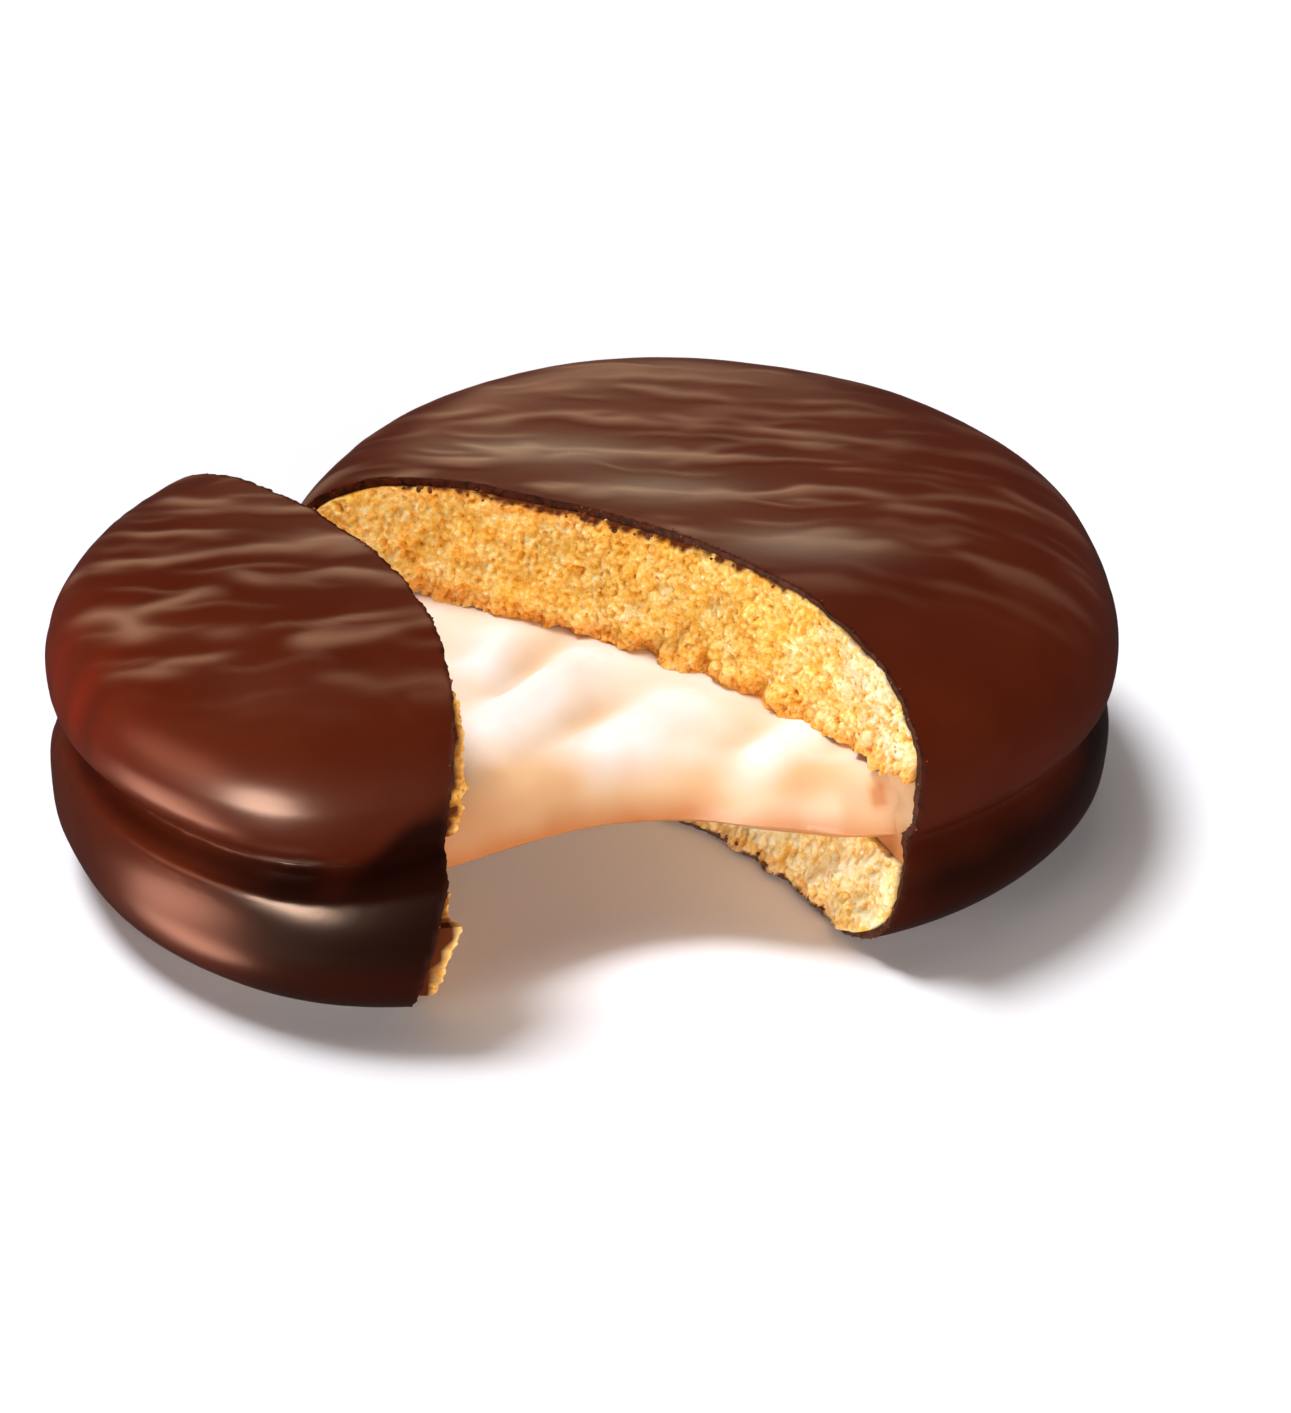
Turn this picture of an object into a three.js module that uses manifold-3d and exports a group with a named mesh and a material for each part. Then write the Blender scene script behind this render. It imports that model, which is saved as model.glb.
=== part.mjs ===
// A chocolate marshmallow pie torn in two: a large part and a small part, each with two sponge cakes in a thin
// chocolate coating, still held together by the marshmallow filling that stretches between them.
// Millimetres, +Z up. Plan positions are first worked out from the middle of the large part, and the finished
// pie is then moved so that its bounding box is centred on the origin and stands on Z = 0.
import * as THREE from 'three';
import { mergeVertices } from 'three/addons/utils/BufferGeometryUtils.js';
import Module from 'manifold-3d';

const wasm = await Module();
wasm.setup();

const COATING = 0.9;         // thickness of the chocolate
const CLEARANCE = 0.15;      // left between neighbouring layers
const RIM_SEGMENTS = 48;     // facets round a whole pie
const CRAG_SIZE = 2.1;       // spacing of the crags on the torn faces
const CRAG_RELIEF = 0.55;    // and how far they stand out
const WAVE_SIZE = 9;         // the same for the tear's slower wander
const WAVE_RELIEF = 0.6;
const TEAR_STEP = 2.0;       // size of the facets on a torn face
const FACET_TOLERANCE = 0.12; // how far a facet may lie from the exact shape
const FRONT_ANGLE = -62;     // direction of the corner nearest the viewer where the wall is dented, in degrees
const FRONT_SPREAD = 24;     // and how far to each side the dent reaches

// The large part is the pie less the piece pulled off it, so it keeps what lies outside the tear's circle.
const LARGE = {
  centre: [0, 0],
  height: 23,
  upperRadius: 34,
  upperWidest: 13.4,         // height at which the upper cake bulges most
  lowerRadius: 33.9,
  lowerWidest: 5.4,
  crease: 10.2,              // height of the waist between the two cakes
  creaseRadius: 32.4,
  domePower: 8,              // the higher, the flatter the top and the sharper its rim
  lowerShift: 0,             // how far the lower cake is pushed towards +X under the upper one
  stretch: 0.02,             // share by which the round outline is drawn out
  stretchAngle: -72,         // and the direction of that, in degrees
  frontDent: 0,              // how far the wall is pressed in near the front of the tear
  creaseLift: 0,             // and how far the crease is drawn up there
  shoulder: [-30, 55, 4.5],  // direction and spread of the side where the dome falls away sooner, and its power
  steeper: [-20, 40, 0],     // direction, spread and share by which the lower wall runs straight up to the crease
  tearCentre: [-32.2, -49.5],
  tearRadius: 52.4,
  tearAngles: [91.7, 21.7],  // where the tear's arc runs, from its far end to its near end, in degrees
  leanAtFilling: 1.9,        // how much further out the torn face lies at the filling than at the top
  leanAtNearEnd: 0.8,        // the same at the near end of the arc
  leanAtFloor: 2.8,          // and how much further out it lies at the floor
  keepsInside: false,
  upperCakeJuts: 0.3,        // how far the crumb stands out past the broken chocolate
  lowerCakeJuts: 0.4,
  lowerCakeTop: 7.8,
  upperCakeBase: 13.3,
  lowerCakeRise: 0.3,        // how much higher these surfaces lie at the rim than in the middle
  upperCakeRise: 1.6,
  crags: 3,
};

// The small part is squeezed narrower and taller by the pull, and keeps what lies inside the tear's circle.
const SMALL = {
  centre: [-24.6, -15.2],
  height: 25.9,
  upperRadius: 24.5,
  upperWidest: 15.8,
  lowerRadius: 26.6,
  lowerWidest: 6.5,
  crease: 12.2,
  creaseRadius: 23.4,
  domePower: 6,
  lowerShift: 2,
  stretch: 0.02,
  stretchAngle: -60,
  frontDent: 1.6,
  creaseLift: 2.2,
  shoulder: [-112, 62, 2.6],
  steeper: [-115, 50, 0.75],
  tearCentre: [-65.6, -44.8],
  tearRadius: 50.1,
  tearAngles: [64, 7.8],
  leanAtFilling: -0.5,
  leanAtNearEnd: -1.5,
  leanAtFloor: -4.4,
  keepsInside: true,
  upperCakeJuts: -0.2,
  lowerCakeJuts: 1.1,
  lowerCakeTop: 8.5,
  upperCakeBase: 14.8,
  lowerCakeRise: 0.4,
  upperCakeRise: 0.8,
  crags: 8,
};

// The marshmallow sheet between the two torn faces. Shares run along the tear from its far end to its near end.
const BRIDGE = {
  farShare: 0.08,
  nearShareLarge: 0.96,
  nearShareSmall: 0.935,
  nearPull: 0.12,            // how far the free near edge is drawn in halfway across, as a share
  thicknessLarge: 4.7,
  thicknessSmall: 5.3,
  thinning: 0.3,             // how much thinner it is halfway across
  sag: 0.2,
  foldRelief: 0.5,
  folds: 5,                  // ridges that run from one part to the other
  embed: 2,                  // how far it reaches in between the cakes at each end
  edgeShare: 0.04,           // share of the tear's arc over which its edges are rounded
  stations: 11,              // facets across the sheet
  samples: 18,               // and along it
};

const radians = THREE.MathUtils.degToRad;
const lerp = THREE.MathUtils.lerp;
const smoothstep = THREE.MathUtils.smoothstep;

// 1 at an offset of 0, falling smoothly to nothing over about twice the spread.
function bell(offset, spread) {
  return Math.exp(-((offset / spread) ** 2));
}

// A repeatable number from -1 to 1 for a lattice point.
function scatter(i, j, seed) {
  const value = Math.sin(i * 127.1 + j * 311.7 + seed * 74.7) * 43758.5453;
  return 2 * (value - Math.floor(value)) - 1;
}

// Smooth repeatable noise from -1 to 1.
function noise(x, y, seed) {
  const i = Math.floor(x);
  const j = Math.floor(y);
  const u = smoothstep(x - i, 0, 1);
  const v = smoothstep(y - j, 0, 1);
  const low = lerp(scatter(i, j, seed), scatter(i + 1, j, seed), u);
  const high = lerp(scatter(i, j + 1, seed), scatter(i + 1, j + 1, seed), u);
  return lerp(low, high, v);
}

// A closed geometry as a solid, with its shared vertices merged and its collapsed faces dropped.
function solidOf(geometry) {
  const bare = geometry.clone();
  bare.deleteAttribute('normal');
  bare.deleteAttribute('uv');
  const merged = mergeVertices(bare, 1e-4);
  const faces = [];
  const index = merged.index.array;
  for (let i = 0; i < index.length; i += 3) {
    const [a, b, c] = index.slice(i, i + 3);
    if (a !== b && b !== c && a !== c) faces.push(a, b, c);
  }
  return new wasm.Manifold(new wasm.Mesh({
    numProp: 3,
    vertProperties: merged.attributes.position.array,
    triVerts: new Uint32Array(faces),
  }));
}

// Moves every vertex of a geometry by a rule on its position.
function reshape(geometry, rule) {
  const position = geometry.attributes.position;
  const point = new THREE.Vector3();
  for (let i = 0; i < position.count; i++) {
    point.fromBufferAttribute(position, i);
    rule(point);
    position.setXYZ(i, point.x, point.y, point.z);
  }
  return geometry;
}

// A profile of (radius, height) points turned about Z.
function turned(profile, segments) {
  return new THREE.LatheGeometry(profile, segments).rotateX(Math.PI / 2);
}

// The pie's outer profile from the middle of its base to the middle of its top: a flat base, two bulging cakes
// with a crease between them, and a domed top.
function outerProfile(pie) {
  const points = [new THREE.Vector2(0, 0)];
  const baseFlat = 0.78 * pie.lowerRadius;
  for (const degrees of [0, 22, 44, 66, 90]) {
    const turn = radians(degrees);
    points.push(new THREE.Vector2(
      baseFlat + (pie.lowerRadius - baseFlat) * Math.sin(turn),
      pie.lowerWidest * (1 - Math.cos(turn)),
    ));
  }
  for (const share of [0.4, 0.75, 1]) {
    points.push(new THREE.Vector2(
      pie.lowerRadius - (pie.lowerRadius - pie.creaseRadius) * share ** 3,
      lerp(pie.lowerWidest, pie.crease, share),
    ));
  }
  for (const share of [0.6, 0]) {
    points.push(new THREE.Vector2(
      pie.upperRadius - (pie.upperRadius - pie.creaseRadius) * share ** 2,
      lerp(pie.upperWidest, pie.crease, share),
    ));
  }
  for (const share of [0.985, 0.95, 0.9, 0.82, 0.7, 0.5, 0]) {
    points.push(new THREE.Vector2(
      pie.upperRadius * share,
      pie.upperWidest + (pie.height - pie.upperWidest) * Math.sqrt(1 - share ** pie.domePower),
    ));
  }
  return points;
}

// How much lower the dome is on the side where it falls away sooner.
function shoulderDrop(pie, angle, rim, z) {
  const [towards, spread, power] = pie.shoulder;
  const off = THREE.MathUtils.euclideanModulo(angle - radians(towards) + Math.PI, 2 * Math.PI) - Math.PI;
  const share = Math.min(rim, 1);
  const fall = Math.sqrt(1 - share ** pie.domePower) - Math.sqrt(1 - share ** power);
  const upper = smoothstep(z, pie.upperWidest - 1, pie.upperWidest + 3);
  return (pie.height - pie.upperWidest) * fall * bell(off, radians(spread)) * upper;
}

// How far the lower wall stands out on the side where it runs straight up to the crease.
function wallFill(pie, angle, z) {
  const [towards, spread, amount] = pie.steeper;
  const off = THREE.MathUtils.euclideanModulo(angle - radians(towards) + Math.PI, 2 * Math.PI) - Math.PI;
  const climb = THREE.MathUtils.clamp((z - pie.lowerWidest) / (pie.crease - pie.lowerWidest), 0, 1);
  const drawnIn = (pie.lowerRadius - pie.creaseRadius) * climb ** 3;
  return amount * drawnIn * (1 - smoothstep(climb, 0.75, 1)) * bell(off, radians(spread));
}

// The whole pie's body, drawn in on every side by inset.
function pieBody(pie, inset) {
  const across = 1 - inset / pie.upperRadius;
  const upright = 1 - (2 * inset) / pie.height;
  const profile = outerProfile(pie).map((p) => new THREE.Vector2(p.x * across, inset + p.y * upright));
  return solidOf(reshape(turned(profile, RIM_SEGMENTS), (point) => {
    const angle = Math.atan2(point.y, point.x);
    const upper = smoothstep(point.z, pie.crease - 2, pie.crease + 3);
    const drawnOut = 1 + pie.stretch * Math.cos(2 * (angle - radians(pie.stretchAngle)));
    const uneven = 1 - 0.006 * Math.cos(5 * angle) - 0.003 * Math.cos(9 * angle);
    const front = bell(angle - radians(FRONT_ANGLE), radians(FRONT_SPREAD));
    const dent = pie.frontDent * upper * front - wallFill(pie, angle, point.z);
    const rim = Math.hypot(point.x, point.y) / pie.upperRadius;
    const scale = drawnOut * (1 + (uneven - 1) * rim) * (1 - (dent / pie.upperRadius) * rim);
    point.x = point.x * scale + pie.centre[0] + pie.lowerShift * (1 - upper);
    point.y = point.y * scale + pie.centre[1];
    point.z += pie.creaseLift * front * bell(point.z - pie.crease, 4) * rim - shoulderDrop(pie, angle, rim, point.z);
  }));
}

// How far the torn face lies from the tear's centre, at a direction and a height.
function tearRadiusAt(pie, angle, z, outwards) {
  const side = pie.keepsInside ? 1 : -1;
  const [far, near] = pie.tearAngles.map(radians);
  const share = (far - angle) / (far - near);
  const upperDepth = THREE.MathUtils.clamp((pie.height - z) / (pie.height - pie.upperCakeBase), 0, 1);
  const lowerDepth = THREE.MathUtils.clamp(1 - z / pie.crease, 0, 1);
  const leanAtFilling = lerp(pie.leanAtFilling, pie.leanAtNearEnd, smoothstep(share, 0.56, 0.81));
  const lean = lerp(leanAtFilling * upperDepth, pie.leanAtFloor, lowerDepth);
  const along = angle * pie.tearRadius;
  const crag = CRAG_RELIEF * noise(along / CRAG_SIZE, z / CRAG_SIZE, pie.crags)
    + WAVE_RELIEF * noise(along / WAVE_SIZE, z / WAVE_SIZE, pie.crags + 1);
  return pie.tearRadius + side * (lean + outwards + crag);
}

// A drum about the tear's centre whose wall is the torn face.
function tearDrum(pie, outwards) {
  const profile = [new THREE.Vector2(0, -2)];
  for (let z = -2; z < pie.height + 2; z += TEAR_STEP) {
    profile.push(new THREE.Vector2(pie.tearRadius, z));
  }
  profile.push(new THREE.Vector2(pie.tearRadius, pie.height + 3), new THREE.Vector2(0, pie.height + 3));
  const segments = Math.round((2 * Math.PI * pie.tearRadius) / TEAR_STEP);
  return solidOf(reshape(turned(profile, segments), (point) => {
    const reach = Math.hypot(point.x, point.y);
    if (reach > 1) {
      const scale = tearRadiusAt(pie, Math.atan2(point.y, point.x), point.z, outwards) / reach;
      point.x *= scale;
      point.y *= scale;
    }
    point.x += pie.tearCentre[0];
    point.y += pie.tearCentre[1];
  }));
}

// The side of a solid that stays with a part when the pie is torn.
function torn(solid, pie, outwards) {
  const drum = tearDrum(pie, outwards);
  return pie.keepsInside ? solid.intersect(drum) : solid.subtract(drum);
}

// Heights of the surfaces that border the filling at a distance from the pie's middle, both higher at the rim.
function lowerCakeTopAt(pie, reach) {
  return pie.lowerCakeTop + pie.lowerCakeRise * (reach / pie.upperRadius) ** 4;
}

function upperCakeBaseAt(pie, reach) {
  return pie.upperCakeBase + pie.upperCakeRise * (reach / pie.upperRadius) ** 4;
}

// The slice of the pie's inside between two layer surfaces.
function layer(pie, low, high) {
  const reaches = [0, 0.55, 0.8, 1.15].map((share) => share * pie.upperRadius);
  const under = reaches.map((reach) => new THREE.Vector2(reach, low(reach)));
  const over = reaches.map((reach) => new THREE.Vector2(reach, high(reach))).reverse();
  const slice = solidOf(turned([...under, ...over], RIM_SEGMENTS)).translate([...pie.centre, 0]);
  return pieBody(pie, COATING + CLEARANCE).intersect(slice);
}

function coating(pie) {
  return torn(pieBody(pie, 0).subtract(pieBody(pie, COATING)), pie, 0);
}

function lowerCake(pie) {
  const slice = layer(pie, () => 0, (reach) => lowerCakeTopAt(pie, reach));
  return torn(slice, pie, pie.lowerCakeJuts);
}

function upperCake(pie) {
  const slice = layer(pie, (reach) => upperCakeBaseAt(pie, reach), () => pie.height);
  return torn(slice, pie, pie.upperCakeJuts);
}

// The filling that lies between a part's two cakes.
function filling(pie) {
  const base = (reach) => lowerCakeTopAt(pie, reach) + CLEARANCE;
  const top = (reach) => upperCakeBaseAt(pie, reach) - CLEARANCE;
  return torn(layer(pie, base, top), pie, -0.2);
}

// A point on a part's tear at a share of its arc, moved into that part by inwards, at the filling's mid height.
function tearPoint(pie, share, inwards) {
  const angle = radians(lerp(...pie.tearAngles, share));
  const side = pie.keepsInside ? -1 : 1;
  const radius = tearRadiusAt(pie, angle, pie.crease + 2, 0) + side * inwards;
  const x = pie.tearCentre[0] + radius * Math.cos(angle);
  const y = pie.tearCentre[1] + radius * Math.sin(angle);
  const reach = Math.hypot(x - pie.centre[0], y - pie.centre[1]);
  return new THREE.Vector3(x, y, (lowerCakeTopAt(pie, reach) + upperCakeBaseAt(pie, reach)) / 2);
}

// The sheet's section as pairs of a share along the tear and a rise from -1 on its underside to 1 on its top:
// flat above and below, with a rounded edge at each end.
function sheetSection(nearShare) {
  const { edgeShare: edge, samples } = BRIDGE;
  const near = nearShare - edge;
  const far = BRIDGE.farShare + edge;
  const section = [];
  for (let turn = -90; turn <= 90; turn += 30) {
    section.push([near + edge * Math.cos(radians(turn)), Math.sin(radians(turn))]);
  }
  for (let k = 1; k < samples; k++) section.push([lerp(near, far, k / samples), 1]);
  for (let turn = 90; turn <= 270; turn += 30) {
    section.push([far + edge * Math.cos(radians(turn)), Math.sin(radians(turn))]);
  }
  for (let k = 1; k < samples; k++) section.push([lerp(far, near, k / samples), -1]);
  return section;
}

// The stretched sheet as one closed loft, with a section at each station from the large part to the small.
function stretchedSheet() {
  const { stations } = BRIDGE;
  const positions = [];
  for (let i = 0; i <= stations; i++) {
    const crossing = i / stations;
    const arch = Math.sin(Math.PI * crossing);
    const nearShare = lerp(BRIDGE.nearShareLarge, BRIDGE.nearShareSmall, crossing) - BRIDGE.nearPull * arch;
    const thickness = lerp(BRIDGE.thicknessLarge, BRIDGE.thicknessSmall, crossing) - BRIDGE.thinning * arch;
    const inwards = BRIDGE.embed * (1 - arch) ** 3;
    for (const [share, rise] of sheetSection(nearShare)) {
      const point = tearPoint(LARGE, share, inwards).lerp(tearPoint(SMALL, share, inwards), crossing);
      const fold = BRIDGE.foldRelief * arch * Math.sin(2 * Math.PI * BRIDGE.folds * share + 2 * crossing);
      point.z += (thickness / 2) * rise + fold * Math.max(rise, 0) - BRIDGE.sag * arch;
      positions.push(...point);
    }
  }
  const round = positions.length / 3 / (stations + 1);
  const faces = [];
  for (let i = 0; i < stations; i++) {
    for (let k = 0; k < round; k++) {
      const a = i * round + k;
      const b = i * round + ((k + 1) % round);
      faces.push(a, b, b + round, a, b + round, a + round);
    }
  }
  for (let k = 1; k < round - 1; k++) {
    const end = stations * round;
    faces.push(0, k + 1, k, end, end + k, end + k + 1);
  }
  const geometry = new THREE.BufferGeometry();
  geometry.setAttribute('position', new THREE.Float32BufferAttribute(positions, 3));
  geometry.setIndex(faces);
  return solidOf(geometry);
}

function marshmallow() {
  return filling(LARGE).add(filling(SMALL)).add(stretchedSheet());
}

const chocolate = new THREE.MeshStandardMaterial({ color: 0x4a2114, roughness: 0.38, metalness: 0 });
const sponge = new THREE.MeshStandardMaterial({ color: 0xe3ad55, roughness: 0.9, metalness: 0 });
const filler = new THREE.MeshStandardMaterial({ color: 0xf8e6d3, roughness: 0.45, metalness: 0 });

const pieces = [
  ['coating_large', coating(LARGE), chocolate],
  ['upper_cake_large', upperCake(LARGE), sponge],
  ['lower_cake_large', lowerCake(LARGE), sponge],
  ['marshmallow', marshmallow(), filler],
  ['coating_small', coating(SMALL), chocolate],
  ['upper_cake_small', upperCake(SMALL), sponge],
  ['lower_cake_small', lowerCake(SMALL), sponge],
];

// A solid's largest connected piece, without the scraps and the slivers that a ragged tear can leave.
function cleaned(solid) {
  const bodies = solid.simplify(FACET_TOLERANCE).decompose();
  return bodies.reduce((best, body) => (body.volume() > best.volume() ? body : best));
}

function geometryOf(solid) {
  const made = solid.getMesh();
  const geometry = new THREE.BufferGeometry();
  geometry.setAttribute('position', new THREE.BufferAttribute(new Float32Array(made.vertProperties), 3));
  geometry.setIndex(new THREE.BufferAttribute(new Uint32Array(made.triVerts), 1));
  return geometry;
}

const geometries = pieces.map(([, solid]) => geometryOf(cleaned(solid)));
const bounds = new THREE.Box3();
for (const geometry of geometries) {
  geometry.computeBoundingBox();
  bounds.union(geometry.boundingBox);
}
const middle = bounds.getCenter(new THREE.Vector3());

const pie = new THREE.Group();
pie.name = 'chocolate_marshmallow_pie';
pieces.forEach(([name, , material], i) => {
  const geometry = geometries[i].translate(-middle.x, -middle.y, -bounds.min.z);
  geometry.computeVertexNormals();
  const mesh = new THREE.Mesh(geometry, material);
  mesh.name = name;
  pie.add(mesh);
});

export default pie;
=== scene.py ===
"""A chocolate marshmallow pie torn in two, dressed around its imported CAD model.

Two parts of one round pie stand on a white floor. Each has an upper and a lower sponge cake in a thin chocolate
coat, and the marshmallow between the cakes is pulled out into a soft sheet that still joins the two parts.
Shapes are worked out in millimetres from the middle of the large part, and made in metres where the CAD has them.
"""

import math

import bmesh
import bpy
import numpy as np
from mathutils import Matrix, Vector


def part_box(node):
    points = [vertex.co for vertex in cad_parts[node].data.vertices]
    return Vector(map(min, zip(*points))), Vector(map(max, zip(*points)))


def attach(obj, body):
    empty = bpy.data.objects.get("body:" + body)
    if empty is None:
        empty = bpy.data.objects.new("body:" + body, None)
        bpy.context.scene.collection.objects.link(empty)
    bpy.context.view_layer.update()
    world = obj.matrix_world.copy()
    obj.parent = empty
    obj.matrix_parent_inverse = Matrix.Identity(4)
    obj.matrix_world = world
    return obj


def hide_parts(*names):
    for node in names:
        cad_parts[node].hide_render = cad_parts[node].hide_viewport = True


bl_info = {
    "name": "Torn marshmallow pie",
    "version": (1, 0, 0),
    "blender": (4, 5, 0),
    "location": "View3D > Sidebar > Pie",
    "description": "Coats, cakes, stretched marshmallow, crumbs and a studio for a pie torn in two",
    "category": "Object",
}

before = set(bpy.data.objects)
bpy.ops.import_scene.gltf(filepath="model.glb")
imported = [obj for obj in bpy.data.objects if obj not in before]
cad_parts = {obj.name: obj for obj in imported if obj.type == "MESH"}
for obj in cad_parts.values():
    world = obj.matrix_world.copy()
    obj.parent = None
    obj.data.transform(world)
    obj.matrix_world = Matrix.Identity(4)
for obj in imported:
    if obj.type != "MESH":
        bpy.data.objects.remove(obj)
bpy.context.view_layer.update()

MM = 0.001
LARGE_REACH = (33.149, 34.559)  # from the large part's middle to its coat's +X and +Y sides, as in the CAD
COAT_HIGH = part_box("coating_large")[1]
MIDDLE = np.array([COAT_HIGH.x / MM - LARGE_REACH[0], COAT_HIGH.y / MM - LARGE_REACH[1], 0])

COAT = 0.9  # thickness of the chocolate
CAKE_INSET = COAT + 0.03  # the cakes and the filling start a hair inside the coat
FILLING_INSET = COAT + 0.05
INNER_STEP = 0.75  # facets of the bodies inside the coat, in mm up the side and as columns round it
INNER_COLUMNS = 200
SLAB_COLUMNS = 240  # columns of the slices that cut out the cakes and the filling
SNAP_STEP = 0.25  # facets of the tear through the chocolate, and through the filling
PULL_STEP = 0.5
CRAG_SIZE, CRAG_RELIEF = 2.1, 0.55  # the torn faces' crags and their slower wander, as in the CAD
WAVE_SIZE, WAVE_RELIEF = 9, 0.6
GLOSSIEST = 0.28  # the chocolate's lowest roughness
OVERHANG = 0.85  # how far clumps of the upper cakes' lower edges hang out over the filling
SHARP_ANGLE = 50  # edges that turn by more than this, in degrees, are shaded sharp
FRONT_ANGLE = -62  # direction of the small part's corner nearest the viewer, where its wall is dented
FRONT_SPREAD = 24

# Sizes of the two parts, in mm and degrees. The large one is the pie less the piece pulled off it, so it keeps what
# lies outside the tear's circle, and the small one keeps what lies inside its own. They are the CAD's own sizes, apart
# from the large part's upper_rise and the small part's upper_juts, which follow the real tear more closely.
LARGE = {
    "name": "large",
    "centre": (0, 0),
    "height": 23,
    "upper_radius": 34,
    "upper_widest": 13.4,  # height at which the upper cake bulges most
    "lower_radius": 33.9,
    "lower_widest": 5.4,
    "crease": 10.2,  # height of the waist between the two cakes
    "crease_radius": 32.4,
    "dome_power": 8,  # the higher, the flatter the top and the sharper its rim
    "lower_shift": 0,  # how far the lower cake is pushed towards +X under the upper one
    "stretch": 0.02,  # share by which the round outline is drawn out, and its direction
    "stretch_angle": -72,
    "front_dent": 0,  # how far the wall is pressed in near the front, and how far the crease is drawn up there
    "crease_lift": 0,
    "toasted": 0,  # how far the cakes are browned all through
    "steeper": (-20, 40, 0),  # direction, spread and share by which the lower wall runs straight up to the crease
    "shoulder": (-30, 55, 4.5),  # direction and spread of the side where the dome falls away sooner, and its power
    "tear_centre": (-32.2, -49.5),
    "tear_radius": 52.4,
    "tear_angles": (91.7, 21.7),  # where the tear's arc runs, from its far end to its near end
    "lean_at_filling": 1.9,  # how much further out the torn face lies at the filling than at the top
    "lean_at_near_end": 0.8,
    "lean_at_floor": 2.8,
    "side": -1,  # -1 keeps what lies outside the tear's circle, 1 what lies inside it
    "upper_juts": 0.3,  # how far the crumb stands out past the broken chocolate
    "lower_juts": 0.4,
    "lower_top": 7.8,
    "upper_base": 13.3,
    "lower_rise": 0.3,  # how much higher these two lie at the rim than in the middle
    "upper_rise": 2.6,
    "crags": 3,  # seed of the part's noises
    "ripple_pitch": 6.4,  # distance between the waves in its chocolate
    "ripple_wrap": (0, 0.08),  # how steeply the waves turn down along the rim, on the left and on the right
    "ripples_fade": (4, 24, 0.45),  # they fade towards the right between the first two, to the third's share
    "ripples_end": (-19, -6),  # and fade out towards the front between these distances from the middle
    # Painted shade: a near-black chocolate colour low on the walls that lie in shade. The directions it starts and
    # ends at, its height, how soft its top is, how much higher it climbs, and the directions between which it does so.
    "painted_shade_side": (-78, 60, 11, 5, 8, -35, 5),
    # Painted sheen: lighter, greyer patches on top, each with its place in plan and its reach along X and Y.
    "bloom": ((-12.5, 7.5, 7.5, 2.6), (-3.5, 1.0, 6.0, 2.4), (7.5, -7.5, 6.0, 2.6)),
    "ruddy": (20, 15, 0.35),  # direction, height and strength of a redder, thinner patch
    "thins": (0.4, 0.55),  # how much thinner the chocolate is beside the tear, at its far and its near end
    "snap": 0.4,  # how much of the cake's cragginess the broken rim of the chocolate follows
    "removed_to": 18,  # the pie is gone between the tear and this distance from the tear's middle
    "sector": (104, 10),  # and between these directions from it
}
SMALL = {
    "name": "small",
    "centre": (-24.6, -15.2),
    "height": 25.9,
    "upper_radius": 24.5,
    "upper_widest": 15.8,
    "lower_radius": 26.6,
    "lower_widest": 6.5,
    "crease": 12.2,
    "crease_radius": 23.4,
    "dome_power": 6,
    "lower_shift": 2,
    "stretch": 0.02,
    "stretch_angle": -60,
    "front_dent": 1.6,
    "crease_lift": 2.2,
    "toasted": 0.85,
    "steeper": (-115, 50, 0.75),
    "shoulder": (-112, 62, 2.6),
    "tear_centre": (-65.6, -44.8),
    "tear_radius": 50.1,
    "tear_angles": (64, 7.8),
    "lean_at_filling": -0.5,
    "lean_at_near_end": -1.5,
    "lean_at_floor": -4.4,
    "side": 1,
    "upper_juts": (-0.2, 0.6),  # along most of the tear, and at its near end
    "lower_juts": 1.1,
    "lower_top": 8.5,
    "upper_base": 14.8,
    "lower_rise": 0.4,
    "upper_rise": 0.8,
    "crags": 8,
    "ripple_pitch": 5.6,
    "ripple_wrap": (-0.25, 0),
    "ripples_fade": (-4, 4, 0.8),
    "ripples_end": (-22, -11),
    # painted shade low on the lower wall, to the right of the front corner
    "painted_shade_side": (-121, 10, 13.2, 2.5, 4.3, -92, -74),
    "bloom": (),
    "ruddy": (-158, 17, 0.9),
    "thins": (0, 0.5),
    "snap": 0.2,
    "removed_to": 92,
    "sector": (80, -8),
}

# The stretched sheet, in mm. Shares run along the tear from its far end to its near end. Pairs are at the large part
# and at the small one, and threes have a value between them, at the crossings that stand beside them.
BRIDGE = {
    "arcs": (64, 49),  # length of each part's torn face
    "far_share": 0.08,
    "near_share": (0.965, 0.985, 0.935),
    "near_share_at": (0, 0.12, 1),
    "near_pull": 0.12,  # how far the near edge is drawn in halfway across, as a share
    "thickness": (5.4, 5.6),
    "thinning": 0.3,  # how much thinner and how much lower it is halfway across
    "sag": 0.2,
    "embed": 2,  # how far its ends go into the fillings
    "near_rounding": (1.6, 8.0, 5.0),  # width over which the near edge rolls off
    "near_rounding_at": (0, 0.45, 1),
    "far_rounding": 2.6,
    "lips": (0.14, 0.28),  # how high the near and the far edge's lower corners lie, as shares of its thickness
    "curls": (1.1, 1.76),  # width over which the underside rises to them
}

# Folds of the sheet's top as (start, end, half width, height), in plan. They run with the pull, from the small part
# up to the large one, and a negative height is a trough.
FOLDS = (
    ((-16.4, -22.8), (-7.9, -9.0), 2.1, 1.5),
    ((-16.7, -12.5), (-14.6, -5.5), 1.8, 0.9),
    ((-7.6, -25.0), (-0.2, -15.5), 2.2, 1.6),
    ((4.5, -24.6), (8.6, -18.6), 1.9, 1.2),
    ((-15.0, -16.1), (-10.6, -5.4), 1.3, -0.7),
    ((-14.7, -27.5), (-6.6, -15.5), 1.6, -0.8),
    ((-0.8, -26.4), (5.6, -18.0), 1.6, -0.7),
    ((7.6, -25.9), (11.1, -20.6), 1.4, -0.6),
)


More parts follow.
